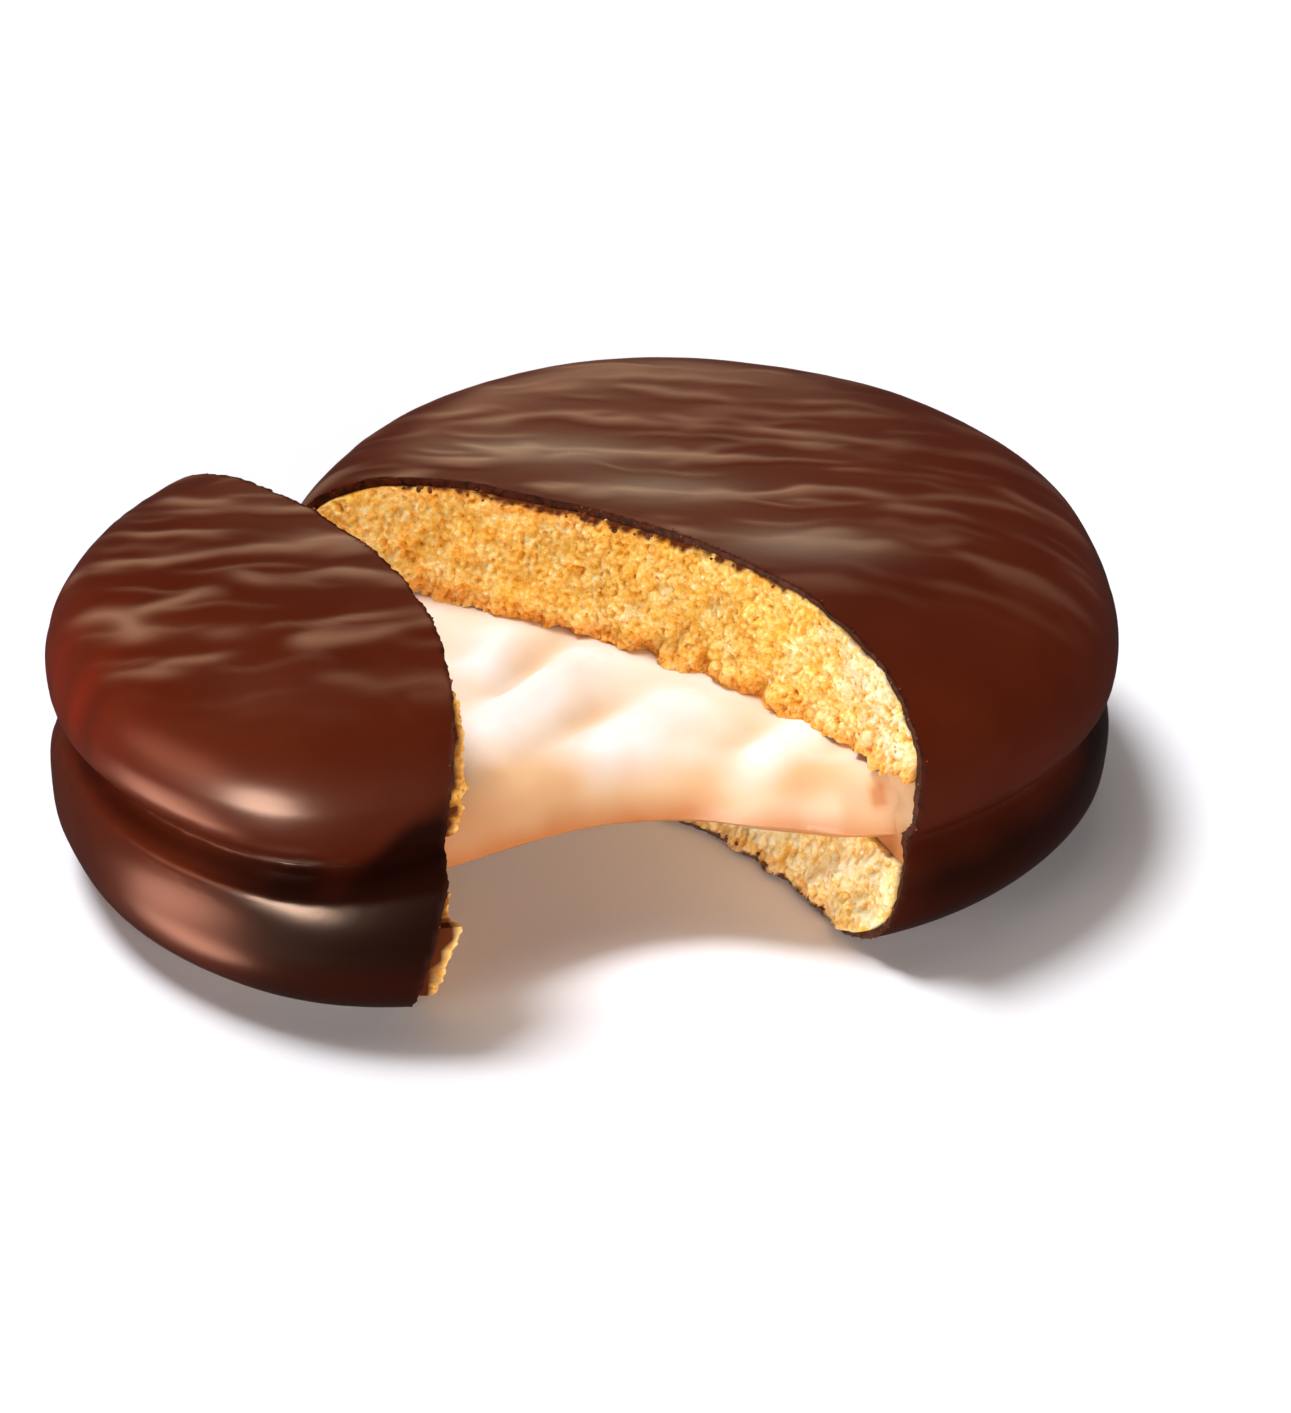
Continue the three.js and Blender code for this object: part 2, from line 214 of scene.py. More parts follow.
def linear(hex_colour):
    """An sRGB hex colour as linear red, green, blue and alpha."""
    shares = [int(hex_colour[i : i + 2], 16) / 255 for i in (1, 3, 5)]
    return tuple(s / 12.92 if s <= 0.04045 else ((s + 0.055) / 1.055) ** 2.4 for s in shares) + (1.0,)


# ---------------------------------------------------------------------------------------------------------------
# Rules of the shapes
# ---------------------------------------------------------------------------------------------------------------


def bell(offset, spread):
    return np.exp(-((offset / spread) ** 2))


def ease(value, low, high):
    share = np.clip((value - low) / (high - low), 0, 1)
    return share * share * (3 - 2 * share)


def settle(share):
    """Like ease from 0 to 1, with no jump in its curvature at the ends, which a highlight would show as a line."""
    return share**3 * (share * (6 * share - 15) + 10)


def mix(low, high, share):
    return low + (high - low) * share


def scatter(i, j, seed):
    """A repeatable number from -1 to 1 for each lattice point."""
    value = np.sin(i * 127.1 + j * 311.7 + seed * 74.7) * 43758.5453
    return 2 * (value - np.floor(value)) - 1


def lattice_noise(x, y, seed):
    """The CAD's own smooth noise from -1 to 1, which gives the tear its crags."""
    i, j = np.floor(x), np.floor(y)
    u, v = ease(x - i, 0, 1), ease(y - j, 0, 1)
    low = mix(scatter(i, j, seed), scatter(i + 1, j, seed), u)
    high = mix(scatter(i, j + 1, seed), scatter(i + 1, j + 1, seed), u)
    return mix(low, high, v)


def soft_noise(x, y, seed):
    """Gradient noise from about -1 to 1, without the lattice's blocks."""
    i, j = np.floor(x), np.floor(y)
    total = 0
    for di in (0, 1):
        for dj in (0, 1):
            turn = np.pi * scatter(i + di, j + dj, seed)
            right, up = x - i - di, y - j - dj
            weight = settle(1 - np.abs(right)) * settle(1 - np.abs(up))
            total = total + weight * (right * np.cos(turn) + up * np.sin(turn))
    return 1.6 * total


def layered_noise(x, y, seed, layers):
    total = 0
    for k in range(layers):
        total = total + soft_noise(x * 2.03**k, y * 2.03**k, seed + 11 * k) / 1.9**k
    return total


def dimples(x, y, seed, smallest, largest, share):
    """Round pits at random places of a unit lattice, in a share of its cells: 1 in a pit's middle, 0 outside."""
    i, j = np.floor(x), np.floor(y)
    deepest = np.zeros_like(x)
    for di in (-1, 0, 1):
        for dj in (-1, 0, 1):
            a, b = i + di, j + dj
            across = x - a - 0.5 - 0.42 * scatter(a, b, seed)
            upright = y - b - 0.5 - 0.42 * scatter(a, b, seed + 1)
            radius = mix(smallest, largest, (0.5 + 0.5 * scatter(a, b, seed + 2)) ** 2)
            there = scatter(a, b, seed + 3) < 2 * share - 1
            pit = np.sqrt(np.clip(1 - (across**2 + upright**2) / radius**2, 0, 1)) * there
            deepest = np.maximum(deepest, pit)
    return deepest


def ripples(x, y, pitch, seed):
    """Height from 0 to 1 of the waves that poured chocolate sets in. Two sets of thin soft crests cross at a small
    angle, which leaves broad, lens-shaped troughs, and they wander and fade in and out along their length."""
    level = 1
    # Slant, pitch and height of each set of waves.
    for k, (slant, size, share) in enumerate(((0.08, 1, 1), (-0.12, 1.15, 0.9), (0.02, 0.55, 0.4))):
        own = seed + 10 * k
        bend = 1.7 * soft_noise(x / 12, y / 8, own) + 0.9 * soft_noise(x / 4.6, y / 3.6, own + 1)
        phase = (y + slant * x + bend) / (pitch * size)
        crest = bell(phase - np.round(phase), 0.125)
        strength = ease(soft_noise(x / 6.5 + 0.37 * np.round(phase), y / 5, own + 2), -0.45, 0.5)
        level = level * (1 - share * strength * crest)
    return 1 - level


def seen_from(middle, points):
    """Directions and distances of points from a middle, in plan."""
    x, y = points[:, 0] - middle[0], points[:, 1] - middle[1]
    return np.arctan2(y, x), np.hypot(x, y)


def turned_off(angle, towards):
    """How far directions in radians lie from one in degrees, the short way round."""
    return (angle - math.radians(towards) + np.pi) % (2 * np.pi) - np.pi


def at_front(angle):
    """1 at the corner nearest the viewer, fading to 0 on both sides."""
    return bell(angle - math.radians(FRONT_ANGLE), math.radians(FRONT_SPREAD))


def tear_share(pie, angle):
    """0 at the far end of the tear's arc, 1 at its near end."""
    far, near = np.radians(pie["tear_angles"])
    return (far - angle) / (far - near)


def tear_reach(pie, angle, z, outwards, cragged=1):
    """How far the torn face lies from the tear's middle, at a direction and a height, as in the CAD."""
    share = tear_share(pie, angle)
    upper_depth = np.clip((pie["height"] - z) / (pie["height"] - pie["upper_base"]), 0, 1)
    lower_depth = np.clip(1 - z / pie["crease"], 0, 1)
    at_filling = mix(pie["lean_at_filling"], pie["lean_at_near_end"], ease(share, 0.56, 0.81))
    lean = mix(at_filling * upper_depth, pie["lean_at_floor"], lower_depth)
    along = angle * pie["tear_radius"]
    crag = CRAG_RELIEF * lattice_noise(along / CRAG_SIZE, z / CRAG_SIZE, pie["crags"])
    crag = crag + WAVE_RELIEF * lattice_noise(along / WAVE_SIZE, z / WAVE_SIZE, pie["crags"] + 1)
    if isinstance(outwards, tuple):
        outwards = mix(*outwards, ease(share, 0.8, 0.95))
    return pie["tear_radius"] + pie["side"] * (lean + outwards + cragged * crag)


def crumb_relief(along, z, seed):
    """How far torn sponge stands out, in mm: small lumps, and pits where bubbles in the batter were. Each line has its
    height, its spacing along and up the face, and for round ones their radii and how many cells have one."""
    lumps = 0.17 * layered_noise(along / 2.1, z / 1.7, seed, 2)
    lumps = lumps + 0.12 * layered_noise(along / 0.55, z / 0.5, seed + 5, 2)
    grains = 0.17 * dimples(along / 0.62, z / 0.56, seed + 20, 0.4, 0.75, 0.85)
    bubbles = 0.26 * dimples(along / 1.1, z / 0.95, seed + 30, 0.14, 0.42, 0.6)
    holes = 0.4 * dimples(along / 4.6, z / 3.4, seed + 40, 0.06, 0.16, 0.5)
    return lumps + grains - bubbles - holes


def coat_gain(pie, points):
    """How much thinner than usual the chocolate is beside the torn face, in mm, from its far end to its near end."""
    share = tear_share(pie, seen_from(pie["tear_centre"], points)[0])
    thinner = mix(*pie["thins"], ease(share, 0.25, 0.75))
    off_crease = 1 - 0.8 * bell(points[:, 2] - pie["crease"], 2)
    return thinner * beside_tear(pie, points) * off_crease


def beside_tear(pie, points):
    """1 near the torn face, 0 from 7 mm away."""
    return 1 - ease(np.abs(seen_from(pie["tear_centre"], points)[1] - pie["tear_radius"]), 3, 7)


def broken_relief(along, z, seed):
    """How far the snapped rim of the chocolate stands out, in mm."""
    return 0.14 * layered_noise(along / 0.7, z / 0.7, seed, 2)


def layer_height(pie, which, reach):
    """Height of the lower cake's top or the upper cake's base, at a distance from the pie's middle."""
    base = pie["lower_top"] if which == "lower" else pie["upper_base"]
    return base + pie[which + "_rise"] * (reach / pie["upper_radius"]) ** 4


def outer_profile(pie, inset, step):
    """Radii, heights and outward normals of the pie's side, drawn in by inset, from the middle of its base to the
    middle of its top: a flat base, two bulging cakes with a crease between them, and a domed top."""
    flat = 0.78 * pie["lower_radius"]
    dome_height = pie["height"] - pie["upper_widest"]
    turn = np.linspace(0, np.pi / 2, 60)
    shares = np.linspace(0, 1, 60)
    base = np.array([0, 0.33, 0.66]) * flat
    radii = [
        base,
        flat + (pie["lower_radius"] - flat) * np.sin(turn),
        (pie["lower_radius"] - (pie["lower_radius"] - pie["crease_radius"]) * shares**3)[1:],
        (pie["upper_radius"] - (pie["upper_radius"] - pie["crease_radius"]) * (1 - shares) ** 2)[1:],
        pie["upper_radius"] * np.cos(turn[1:-1]) ** (2 / pie["dome_power"]),
    ]
    heights = [
        np.zeros(len(base)),
        pie["lower_widest"] * (1 - np.cos(turn)),
        mix(pie["lower_widest"], pie["crease"], shares)[1:],
        mix(pie["crease"], pie["upper_widest"], shares)[1:],
        pie["upper_widest"] + dome_height * np.sin(turn[1:-1]),
    ]
    inner = np.linspace(radii[-1][-1], 0, 40)[1:]
    dome = np.sqrt(1 - (inner / pie["upper_radius"]) ** pie["dome_power"])
    radius = np.concatenate([*radii, inner])
    height = np.concatenate([*heights, pie["upper_widest"] + dome_height * dome])
    length = np.concatenate([[0], np.cumsum(np.hypot(np.diff(radius), np.diff(height)))])
    start = length[len(base)]
    count = int(round((length[-1] - start) / step))
    even = np.concatenate([length[: len(base)], np.linspace(start, length[-1], count + 1)])
    radius, height = np.interp(even, length, radius), np.interp(even, length, height)
    radius[-1] = 0
    rise, run = np.gradient(height, even), np.gradient(radius, even)
    radius = radius * (1 - inset / pie["upper_radius"])
    height = inset + height * (1 - 2 * inset / pie["height"])
    return radius, height, rise, -run


def shoulder_drop(pie, angle, rim, z):
    """How much lower the dome is on the side where it falls away sooner."""
    towards, spread, power = pie["shoulder"]
    share = np.minimum(rim, 1)
    fall = np.sqrt(1 - share ** pie["dome_power"]) - np.sqrt(1 - share**power)
    fall = (pie["height"] - pie["upper_widest"]) * fall
    side = bell(turned_off(angle, towards), math.radians(spread))
    return fall * side * ease(z, pie["upper_widest"] - 1, pie["upper_widest"] + 3)


def lobed(pie, points):
    """Turns the plain round pie into the hand-sized, slightly uneven one of the CAD, and puts it in its place."""
    x, y, z = points.T
    angle = np.arctan2(y, x)
    upper = ease(z, pie["crease"] - 2, pie["crease"] + 3)
    drawn_out = 1 + pie["stretch"] * np.cos(2 * (angle - math.radians(pie["stretch_angle"])))
    uneven = 1 - 0.006 * np.cos(5 * angle) - 0.003 * np.cos(9 * angle)
    rim = np.hypot(x, y) / pie["upper_radius"]
    dent = pie["front_dent"] * upper * at_front(angle)
    towards, spread, amount = pie["steeper"]
    climb = np.clip((z - pie["lower_widest"]) / (pie["crease"] - pie["lower_widest"]), 0, 1)
    drawn_in = (pie["lower_radius"] - pie["crease_radius"]) * climb**3
    side = bell(turned_off(angle, towards), math.radians(spread))
    filled = amount * drawn_in * (1 - ease(climb, 0.75, 1)) * side
    scale = drawn_out * (1 + (uneven - 1) * rim) * (1 - (dent - filled) / pie["upper_radius"] * rim)
    lift = pie["crease_lift"] * at_front(angle) * bell(z - pie["crease"], 4) * rim
    lift = lift - shoulder_drop(pie, angle, rim, z)
    x = x * scale + pie["centre"][0] + pie["lower_shift"] * (1 - upper)
    y = y * scale + pie["centre"][1]
    return np.stack([x, y, z + lift], axis=1)


# ---------------------------------------------------------------------------------------------------------------
# Meshes
# ---------------------------------------------------------------------------------------------------------------


def in_frame(points):
    """Points in mm from the middle of the large part, as metres in the CAD's frame."""
    return (points + MIDDLE) * MM


def in_plan(mesh):
    """A mesh's vertices back in mm from the middle of the large part."""
    flat = np.zeros(len(mesh.vertices) * 3)
    mesh.vertices.foreach_get("co", flat)
    return flat.reshape(-1, 3) / MM - MIDDLE


def solid(name, points, faces):
    """A closed mesh object with its faces turned outwards."""
    mesh = bpy.data.meshes.new(name)
    mesh.from_pydata(in_frame(points).tolist(), [], faces)
    turned = bmesh.new()
    turned.from_mesh(mesh)
    bmesh.ops.recalc_face_normals(turned, faces=turned.faces)
    turned.to_mesh(mesh)
    turned.free()
    made = bpy.data.objects.new(name, mesh)
    bpy.context.scene.collection.objects.link(made)
    return made


def turned_faces(rings, columns):
    """Faces of a lathed body whose first and last vertices are its poles."""
    ring = np.arange(rings)[:-1, None] * columns + 1
    column = np.arange(columns)
    after = (column + 1) % columns
    quads = np.stack([ring + column, ring + after, ring + columns + after, ring + columns + column], axis=-1)
    faces = quads.reshape(-1, 4).tolist()
    top, last = rings * columns + 1, (rings - 1) * columns + 1
    for k in range(columns):
        faces.append([0, 1 + after[k], 1 + k])
        faces.append([top, last + k, last + after[k]])
    return faces


def lathed_points(radius, height, columns):
    angle = 2 * np.pi * np.arange(columns) / columns
    ring_x = radius[1:-1, None] * np.cos(angle)
    ring_y = radius[1:-1, None] * np.sin(angle)
    ring_z = np.repeat(height[1:-1, None], columns, axis=1)
    rings = np.stack([ring_x, ring_y, ring_z], axis=-1).reshape(-1, 3)
    return np.concatenate([[[0, 0, height[0]]], rings, [[0, 0, height[-1]]]])


def pie_body(pie, inset, step, columns, relief):
    """The whole pie's body drawn in by inset. relief(points, top) gives how far its skin is moved out, in mm, and top
    is how far the skin faces up."""
    radius, height, out, up = outer_profile(pie, inset, step)
    points = lobed(pie, lathed_points(radius, height, columns))
    rings = len(radius) - 2
    angle = np.tile(2 * np.pi * np.arange(columns) / columns, rings)
    out_ring, up_ring = np.repeat(out[1:-1], columns), np.repeat(up[1:-1], columns)
    normal = np.stack([out_ring * np.cos(angle), out_ring * np.sin(angle), up_ring], axis=1)
    normal = np.concatenate([[[0, 0, -1]], normal, [[0, 0, 1]]])
    normal /= np.maximum(np.linalg.norm(normal, axis=1, keepdims=True), 1e-9)
    points = points + normal * relief(points, normal[:, 2])[:, None]
    points[:, 2] = np.maximum(points[:, 2], 0)
    return solid("body", points, turned_faces(rings, columns))


def inner_body(pie, inset):
    """The body inside the coat, which comes further out where the coat is thinner."""
    return pie_body(pie, inset, INNER_STEP, INNER_COLUMNS, lambda points, top: coat_gain(pie, points))


def layer_slab(pie, low, high, ragged=0):
    """A broad slice between two heights that change with the distance from the pie's middle. ragged is how strongly
    its underside rises and falls in small patches."""
    reach = np.linspace(0, 1.12, 60) * pie["upper_radius"]
    radius = np.concatenate([reach, reach[::-1]])
    height = np.concatenate([low(reach), high(reach[::-1])])
    points = lathed_points(radius, height, SLAB_COLUMNS) + np.array([*pie["centre"], 0])
    if ragged:
        under = np.abs(points[:, 2] - low(seen_from(pie["centre"], points)[1])) < 1e-6
        shift = layered_noise(points[:, 0] / 2.3, points[:, 1] / 2.3, pie["crags"] + 60, 2)
        points[:, 2] += ragged * np.minimum(shift - 0.2, 0.1) * under
    return solid("slab", points, turned_faces(len(radius) - 2, SLAB_COLUMNS))


def tear_block(pie, outwards, low, high, step, relief, cragged=1):
    """The block of the pie that the tear takes away, between two heights. Its curved wall is the torn face."""
    far, near = np.radians(pie["sector"])
    columns = int(round((far - near) * pie["tear_radius"] / step))
    rows = int(round((high - low) / step))
    angle = np.linspace(far, near, columns + 1)[:, None] + np.zeros(rows + 1)
    z = np.linspace(low, high, rows + 1) + np.zeros((columns + 1, 1))
    along = angle * pie["tear_radius"]
    wall = tear_reach(pie, angle, z, outwards, cragged) + pie["side"] * relief(along, z)
    wall_points = np.stack([wall * np.cos(angle), wall * np.sin(angle), z], axis=-1).reshape(-1, 3)
    back_x, back_y = pie["removed_to"] * np.cos(angle[:, 0]), pie["removed_to"] * np.sin(angle[:, 0])
    backs = [np.stack([back_x, back_y, np.full(columns + 1, level)], axis=-1) for level in (low, high)]
    points = np.concatenate([wall_points, *backs]) + np.array([*pie["tear_centre"], 0])
    front = np.arange((columns + 1) * (rows + 1)).reshape(columns + 1, rows + 1)
    under = front.size + np.arange(columns + 1)
    over = under + columns + 1
    corners = [front[:-1, :-1], front[1:, :-1], front[1:, 1:], front[:-1, 1:]]
    faces = np.stack(corners, axis=-1).reshape(-1, 4).tolist()
    for k in range(columns):
        faces.append([front[k, 0], under[k], under[k + 1], front[k + 1, 0]])
        faces.append([front[k, -1], front[k + 1, -1], over[k + 1], over[k]])
        faces.append([under[k], over[k], over[k + 1], under[k + 1]])
    faces.append([*front[0], over[0], under[0]])
    faces.append([*front[-1][::-1], under[-1], over[-1]])
    return solid("tear", points, [[int(i) for i in face] for face in faces])


def carved(name, body, *steps):
    """The body after each (operation, other solid) in turn, as one closed piece without loose scraps."""
    for operation, other in steps:
        step = body.modifiers.new(operation, "BOOLEAN")
        step.operation = operation
        step.object = other
        step.solver = "MANIFOLD"
    bpy.context.view_layer.update()
    graph = bpy.context.evaluated_depsgraph_get()
    mesh = bpy.data.meshes.new_from_object(body.evaluated_get(graph))
    for used in [body, *[other for _, other in steps]]:
        bpy.data.objects.remove(used)
    if not len(mesh.polygons):
        raise RuntimeError(name + " came out empty")
    keep_largest(mesh)
    mesh.materials.clear()
    mesh.polygons.foreach_set("material_index", np.zeros(len(mesh.polygons), np.int32))
    mesh.name = name
    mesh.shade_smooth()
    mesh.set_sharp_from_angle(angle=math.radians(SHARP_ANGLE))
    made = bpy.data.objects.new(name, mesh)
    bpy.context.scene.collection.objects.link(made)
    return made


def keep_largest(mesh):
    """Takes away all but the largest connected piece of a mesh."""
    edges = np.zeros(len(mesh.edges) * 2, np.int64)
    mesh.edges.foreach_get("vertices", edges)
    edges = edges.reshape(-1, 2)
    label = np.arange(len(mesh.vertices))
    while True:
        lowest = np.minimum(label[edges[:, 0]], label[edges[:, 1]])
        new = label.copy()
        np.minimum.at(new, edges[:, 0], lowest)
        np.minimum.at(new, edges[:, 1], lowest)
        new = new[new]
        if (new == label).all():
            break
        label = new
    names, counts = np.unique(label, return_counts=True)
    if len(names) == 1:
        return
    spare = label != names[counts.argmax()]
    trimmed = bmesh.new()
    trimmed.from_mesh(mesh)
    trimmed.verts.ensure_lookup_table()
    bmesh.ops.delete(trimmed, geom=[trimmed.verts[i] for i in np.flatnonzero(spare)], context="VERTS")
    trimmed.to_mesh(mesh)
    trimmed.free()


def store(mesh, name, values):
    """Writes one number per vertex for the materials to read."""
    mesh.attributes.new(name, "FLOAT", "POINT").data.foreach_set("value", np.asarray(values, np.float32))


def join_frame(piece, node):
    """Hands a finished piece to the frame in a CAD node's place."""
    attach(piece, "root")
    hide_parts(node)


# ---------------------------------------------------------------------------------------------------------------
# Materials
# ---------------------------------------------------------------------------------------------------------------


def add(tree, kind, inputs=(), stops=(), **settings):
    """Adds one node with its settings, its sockets set or linked, and the stops of its ramp where it has one."""
    made = tree.nodes.new(kind)
    for name, value in settings.items():
        setattr(made, name, value)
    for socket, value in dict(inputs).items():
        if isinstance(value, bpy.types.NodeSocket):
            tree.links.new(value, made.inputs[socket])
        else:
            made.inputs[socket].default_value = value
    for k, (place, colour) in enumerate(stops):
        stop = made.color_ramp.elements[k] if k < 2 else made.color_ramp.elements.new(place)
        stop.position = place
        stop.color = colour
    return made


def blank(name):
    """A new material and its empty node tree."""
    material = bpy.data.materials.new(name)
    material.use_nodes = True
    material.node_tree.nodes.clear()
    return material, material.node_tree


def enrobed_chocolate(looks):
    """Dark chocolate, poured over the pie and set in a cool tunnel.

    It looks satin rather than glossy: a deep brown with a soft skin of reflection, redder where it is thin, and matt
    and crumbly where it has snapped. A lighter grey-brown along the poured ridges and in a few patches on top is
    painted sheen, and a near-black on the walls that lie in shade is painted shade."""
    material, tree = blank("dark chocolate, poured and set")
    place = add(tree, "ShaderNodeTexCoord").outputs["Object"]
    crest, broken, ruddy, dark, bloom = (
        add(tree, "ShaderNodeAttribute", attribute_name=name).outputs["Fac"]
        for name in ("crest", "broken", "ruddy", "dark", "bloom")
    )
    # Cloudy patches about 9 mm across, and a speckle of 0.6 mm like the grain of set chocolate.
    cloud = add(
        tree, "ShaderNodeTexNoise", {"Vector": place, "Scale": 1 / (9 * MM), "Detail": 3.0, "Roughness": 0.55}
    ).outputs["Fac"]
    speckle = add(
        tree, "ShaderNodeTexNoise", {"Vector": place, "Scale": 1 / (0.6 * MM), "Detail": 4.0, "Roughness": 0.6}
    ).outputs["Fac"]
    tone = add(
        tree,
        "ShaderNodeValToRGB",
        {"Fac": cloud},
        stops=[(0.15, (*looks.chocolate_deep, 1)), (0.85, (*looks.chocolate, 1))],
    ).outputs["Color"]
    # Painted sheen: a lighter grey-brown tint along the crests of the poured waves, where the light catches them.
    ridge_sheen = add(tree, "ShaderNodeMath", {0: crest, 1: 1.2}, operation="POWER").outputs[0]
    ridge_sheen = add(tree, "ShaderNodeMath", {0: ridge_sheen, 1: 0.65}, operation="MULTIPLY").outputs[0]
    with_ridge_sheen = add(
        tree, "ShaderNodeMix", {0: ridge_sheen, 6: tone, 7: (*looks.chocolate_ridge_sheen, 1)}, data_type="RGBA"
    ).outputs[2]
    snap = add(
        tree,
        "ShaderNodeValToRGB",
        {"Fac": speckle},
        stops=[(0.35, linear("#180602")), (0.6, linear("#4a1a0a"))],
    ).outputs["Color"]
    thin = add(tree, "ShaderNodeMix", {0: ruddy, 6: with_ridge_sheen, 7: linear("#7c2008")}, data_type="RGBA").outputs[2]
    # Painted sheen: a light grey-brown in a few broad patches on top.
    veil = add(tree, "ShaderNodeMath", {0: bloom, 1: 0.55}, operation="MULTIPLY").outputs[0]
    with_painted_sheen = add(tree, "ShaderNodeMix", {0: veil, 6: thin, 7: linear("#8e7a66")}, data_type="RGBA").outputs[2]
    # Painted shade: a near-black brown on the walls that the dark attribute marks as lying in shade.
    thick = add(tree, "ShaderNodeMix", {0: dark, 6: with_painted_sheen, 7: linear("#1c0401")}, data_type="RGBA").outputs[2]
    base = add(tree, "ShaderNodeMix", {0: broken, 6: thick, 7: snap}, data_type="RGBA").outputs[2]
    # Satin. Where roughness passes about 0.27, the render's denoising leaves a crisp line, so none here is lower.
    gloss = add(
        tree,
        "ShaderNodeMapRange",
        {"Value": cloud, "From Min": 0.1, "From Max": 0.9, "To Min": GLOSSIEST, "To Max": 0.34},
    ).outputs["Result"]
    gloss = add(tree, "ShaderNodeMix", {0: dark, 2: gloss, 3: GLOSSIEST}, data_type="FLOAT").outputs[0]
    rough = add(tree, "ShaderNodeMix", {0: broken, 2: gloss, 3: 0.75}, data_type="FLOAT").outputs[0]
    fine = add(tree, "ShaderNodeBump", {"Height": speckle, "Strength": 0.1, "Distance": 0.05 * MM}).outputs["Normal"]
    shader = add(
        tree,
        "ShaderNodeBsdfPrincipled",
        {
            "Base Color": base,
            "Roughness": rough,
            "IOR": 1.45,
            "Specular IOR Level": 0.4,
            "Specular Tint": linear("#ffdcc4"),
            "Normal": fine,
        },
    )
    add(tree, "ShaderNodeOutputMaterial", {"Surface": shader.outputs["BSDF"]})
    return material


def torn_sponge(looks):
    """Sponge cake, baked in a sheet and pulled apart.

    The crumb is matt and full of small holes. Its colour follows the crumb's relief as painted light and shade: cream
    where walls of crumb catch the light, golden between them, amber inside the bubbles, and painted lighter where
    other parts shade it. It is orange-brown where the skin was baked, paler towards the near end of the tear, which is
    partly painted light, and stained dark beside the chocolate."""
    material, tree = blank("sponge cake, baked and torn")
    place = add(tree, "ShaderNodeTexCoord").outputs["Object"]
    relief, baked, pale, torn = (
        add(tree, "ShaderNodeAttribute", attribute_name=name).outputs["Fac"]
        for name in ("relief", "baked", "pale", "torn")
    )
    # Grain of the crumb at 0.38 mm, and clouds of lighter and darker bake 3 mm across.
    grain = add(
        tree, "ShaderNodeTexNoise", {"Vector": place, "Scale": 1 / (0.38 * MM), "Detail": 3.0, "Roughness": 0.65}
    ).outputs["Fac"]
    cloud = add(
        tree, "ShaderNodeTexNoise", {"Vector": place, "Scale": 1 / (3 * MM), "Detail": 2.0, "Roughness": 0.5}
    ).outputs["Fac"]
    level = add(tree, "ShaderNodeMath", {0: grain, 1: 1.5, 2: -0.75}, operation="MULTIPLY_ADD").outputs[0]
    level = add(tree, "ShaderNodeMath", {0: level, 1: relief}, operation="ADD").outputs[0]
    level = add(tree, "ShaderNodeMath", {0: cloud, 1: 0.5, 2: level}, operation="MULTIPLY_ADD").outputs[0]
    golden = add(
        tree,
        "ShaderNodeValToRGB",
        {"Fac": level},
        stops=[
            (0.0, linear("#a06018")),
            (0.26, (*looks.sponge_pit, 1)),
            (0.6, (*looks.sponge, 1)),
            (0.92, (*looks.sponge_light, 1)),
            (1.0, linear("#ffeec4")),
        ],
    ).outputs["Color"]
    creamy = add(
        tree,
        "ShaderNodeValToRGB",
        {"Fac": level},
        stops=[
            (0.05, linear("#d98c28")),
            (0.3, linear("#f6c05c")),
            (0.54, linear("#ffdc90")),
            (0.8, linear("#fff2d0")),
        ],
    ).outputs["Color"]
    fade = add(tree, "ShaderNodeMath", {0: cloud, 1: 1.2, 2: -0.6}, operation="MULTIPLY_ADD").outputs[0]
    fade = add(tree, "ShaderNodeMath", {0: fade, 1: pale}, operation="ADD", use_clamp=True).outputs[0]
    crumb = add(tree, "ShaderNodeMix", {0: fade, 6: golden, 7: creamy}, data_type="RGBA").outputs[2]
    skin = add(
        tree,
        "ShaderNodeValToRGB",
        {"Fac": level},
        stops=[(0.25, linear("#a85a1c")), (0.68, (*looks.sponge_baked, 1)), (1.0, linear("#ffcc7c"))],
    ).outputs["Color"]
    patchy = add(tree, "ShaderNodeMath", {0: cloud, 1: 1.6, 2: -0.8}, operation="MULTIPLY_ADD").outputs[0]
    browned = add(tree, "ShaderNodeMath", {0: patchy, 1: baked}, operation="ADD", use_clamp=True).outputs[0]
    browned = add(tree, "ShaderNodeMath", {0: browned, 1: baked}, operation="MULTIPLY", use_clamp=True).outputs[0]
    base = add(tree, "ShaderNodeMix", {0: browned, 6: crumb, 7: skin}, data_type="RGBA").outputs[2]
    stained = add(tree, "ShaderNodeMix", {0: torn, 6: linear("#5c2a12"), 7: base}, data_type="RGBA").outputs[2]
    fine = add(tree, "ShaderNodeBump", {"Height": grain, "Strength": 0.5, "Distance": 0.12 * MM}).outputs["Normal"]
    shader = add(
        tree,
        "ShaderNodeBsdfPrincipled",
        {
            "Base Color": stained,
            "Roughness": 0.85,
            "IOR": 1.4,
            "Specular IOR Level": 0.05,
            "Subsurface Weight": 0.35,
            "Subsurface Radius": (1.0, 0.62, 0.3),
            "Subsurface Scale": 0.9 * MM,
            "Normal": fine,
        },
    )
    add(tree, "ShaderNodeOutputMaterial", {"Surface": shader.outputs["BSDF"]})
    return material


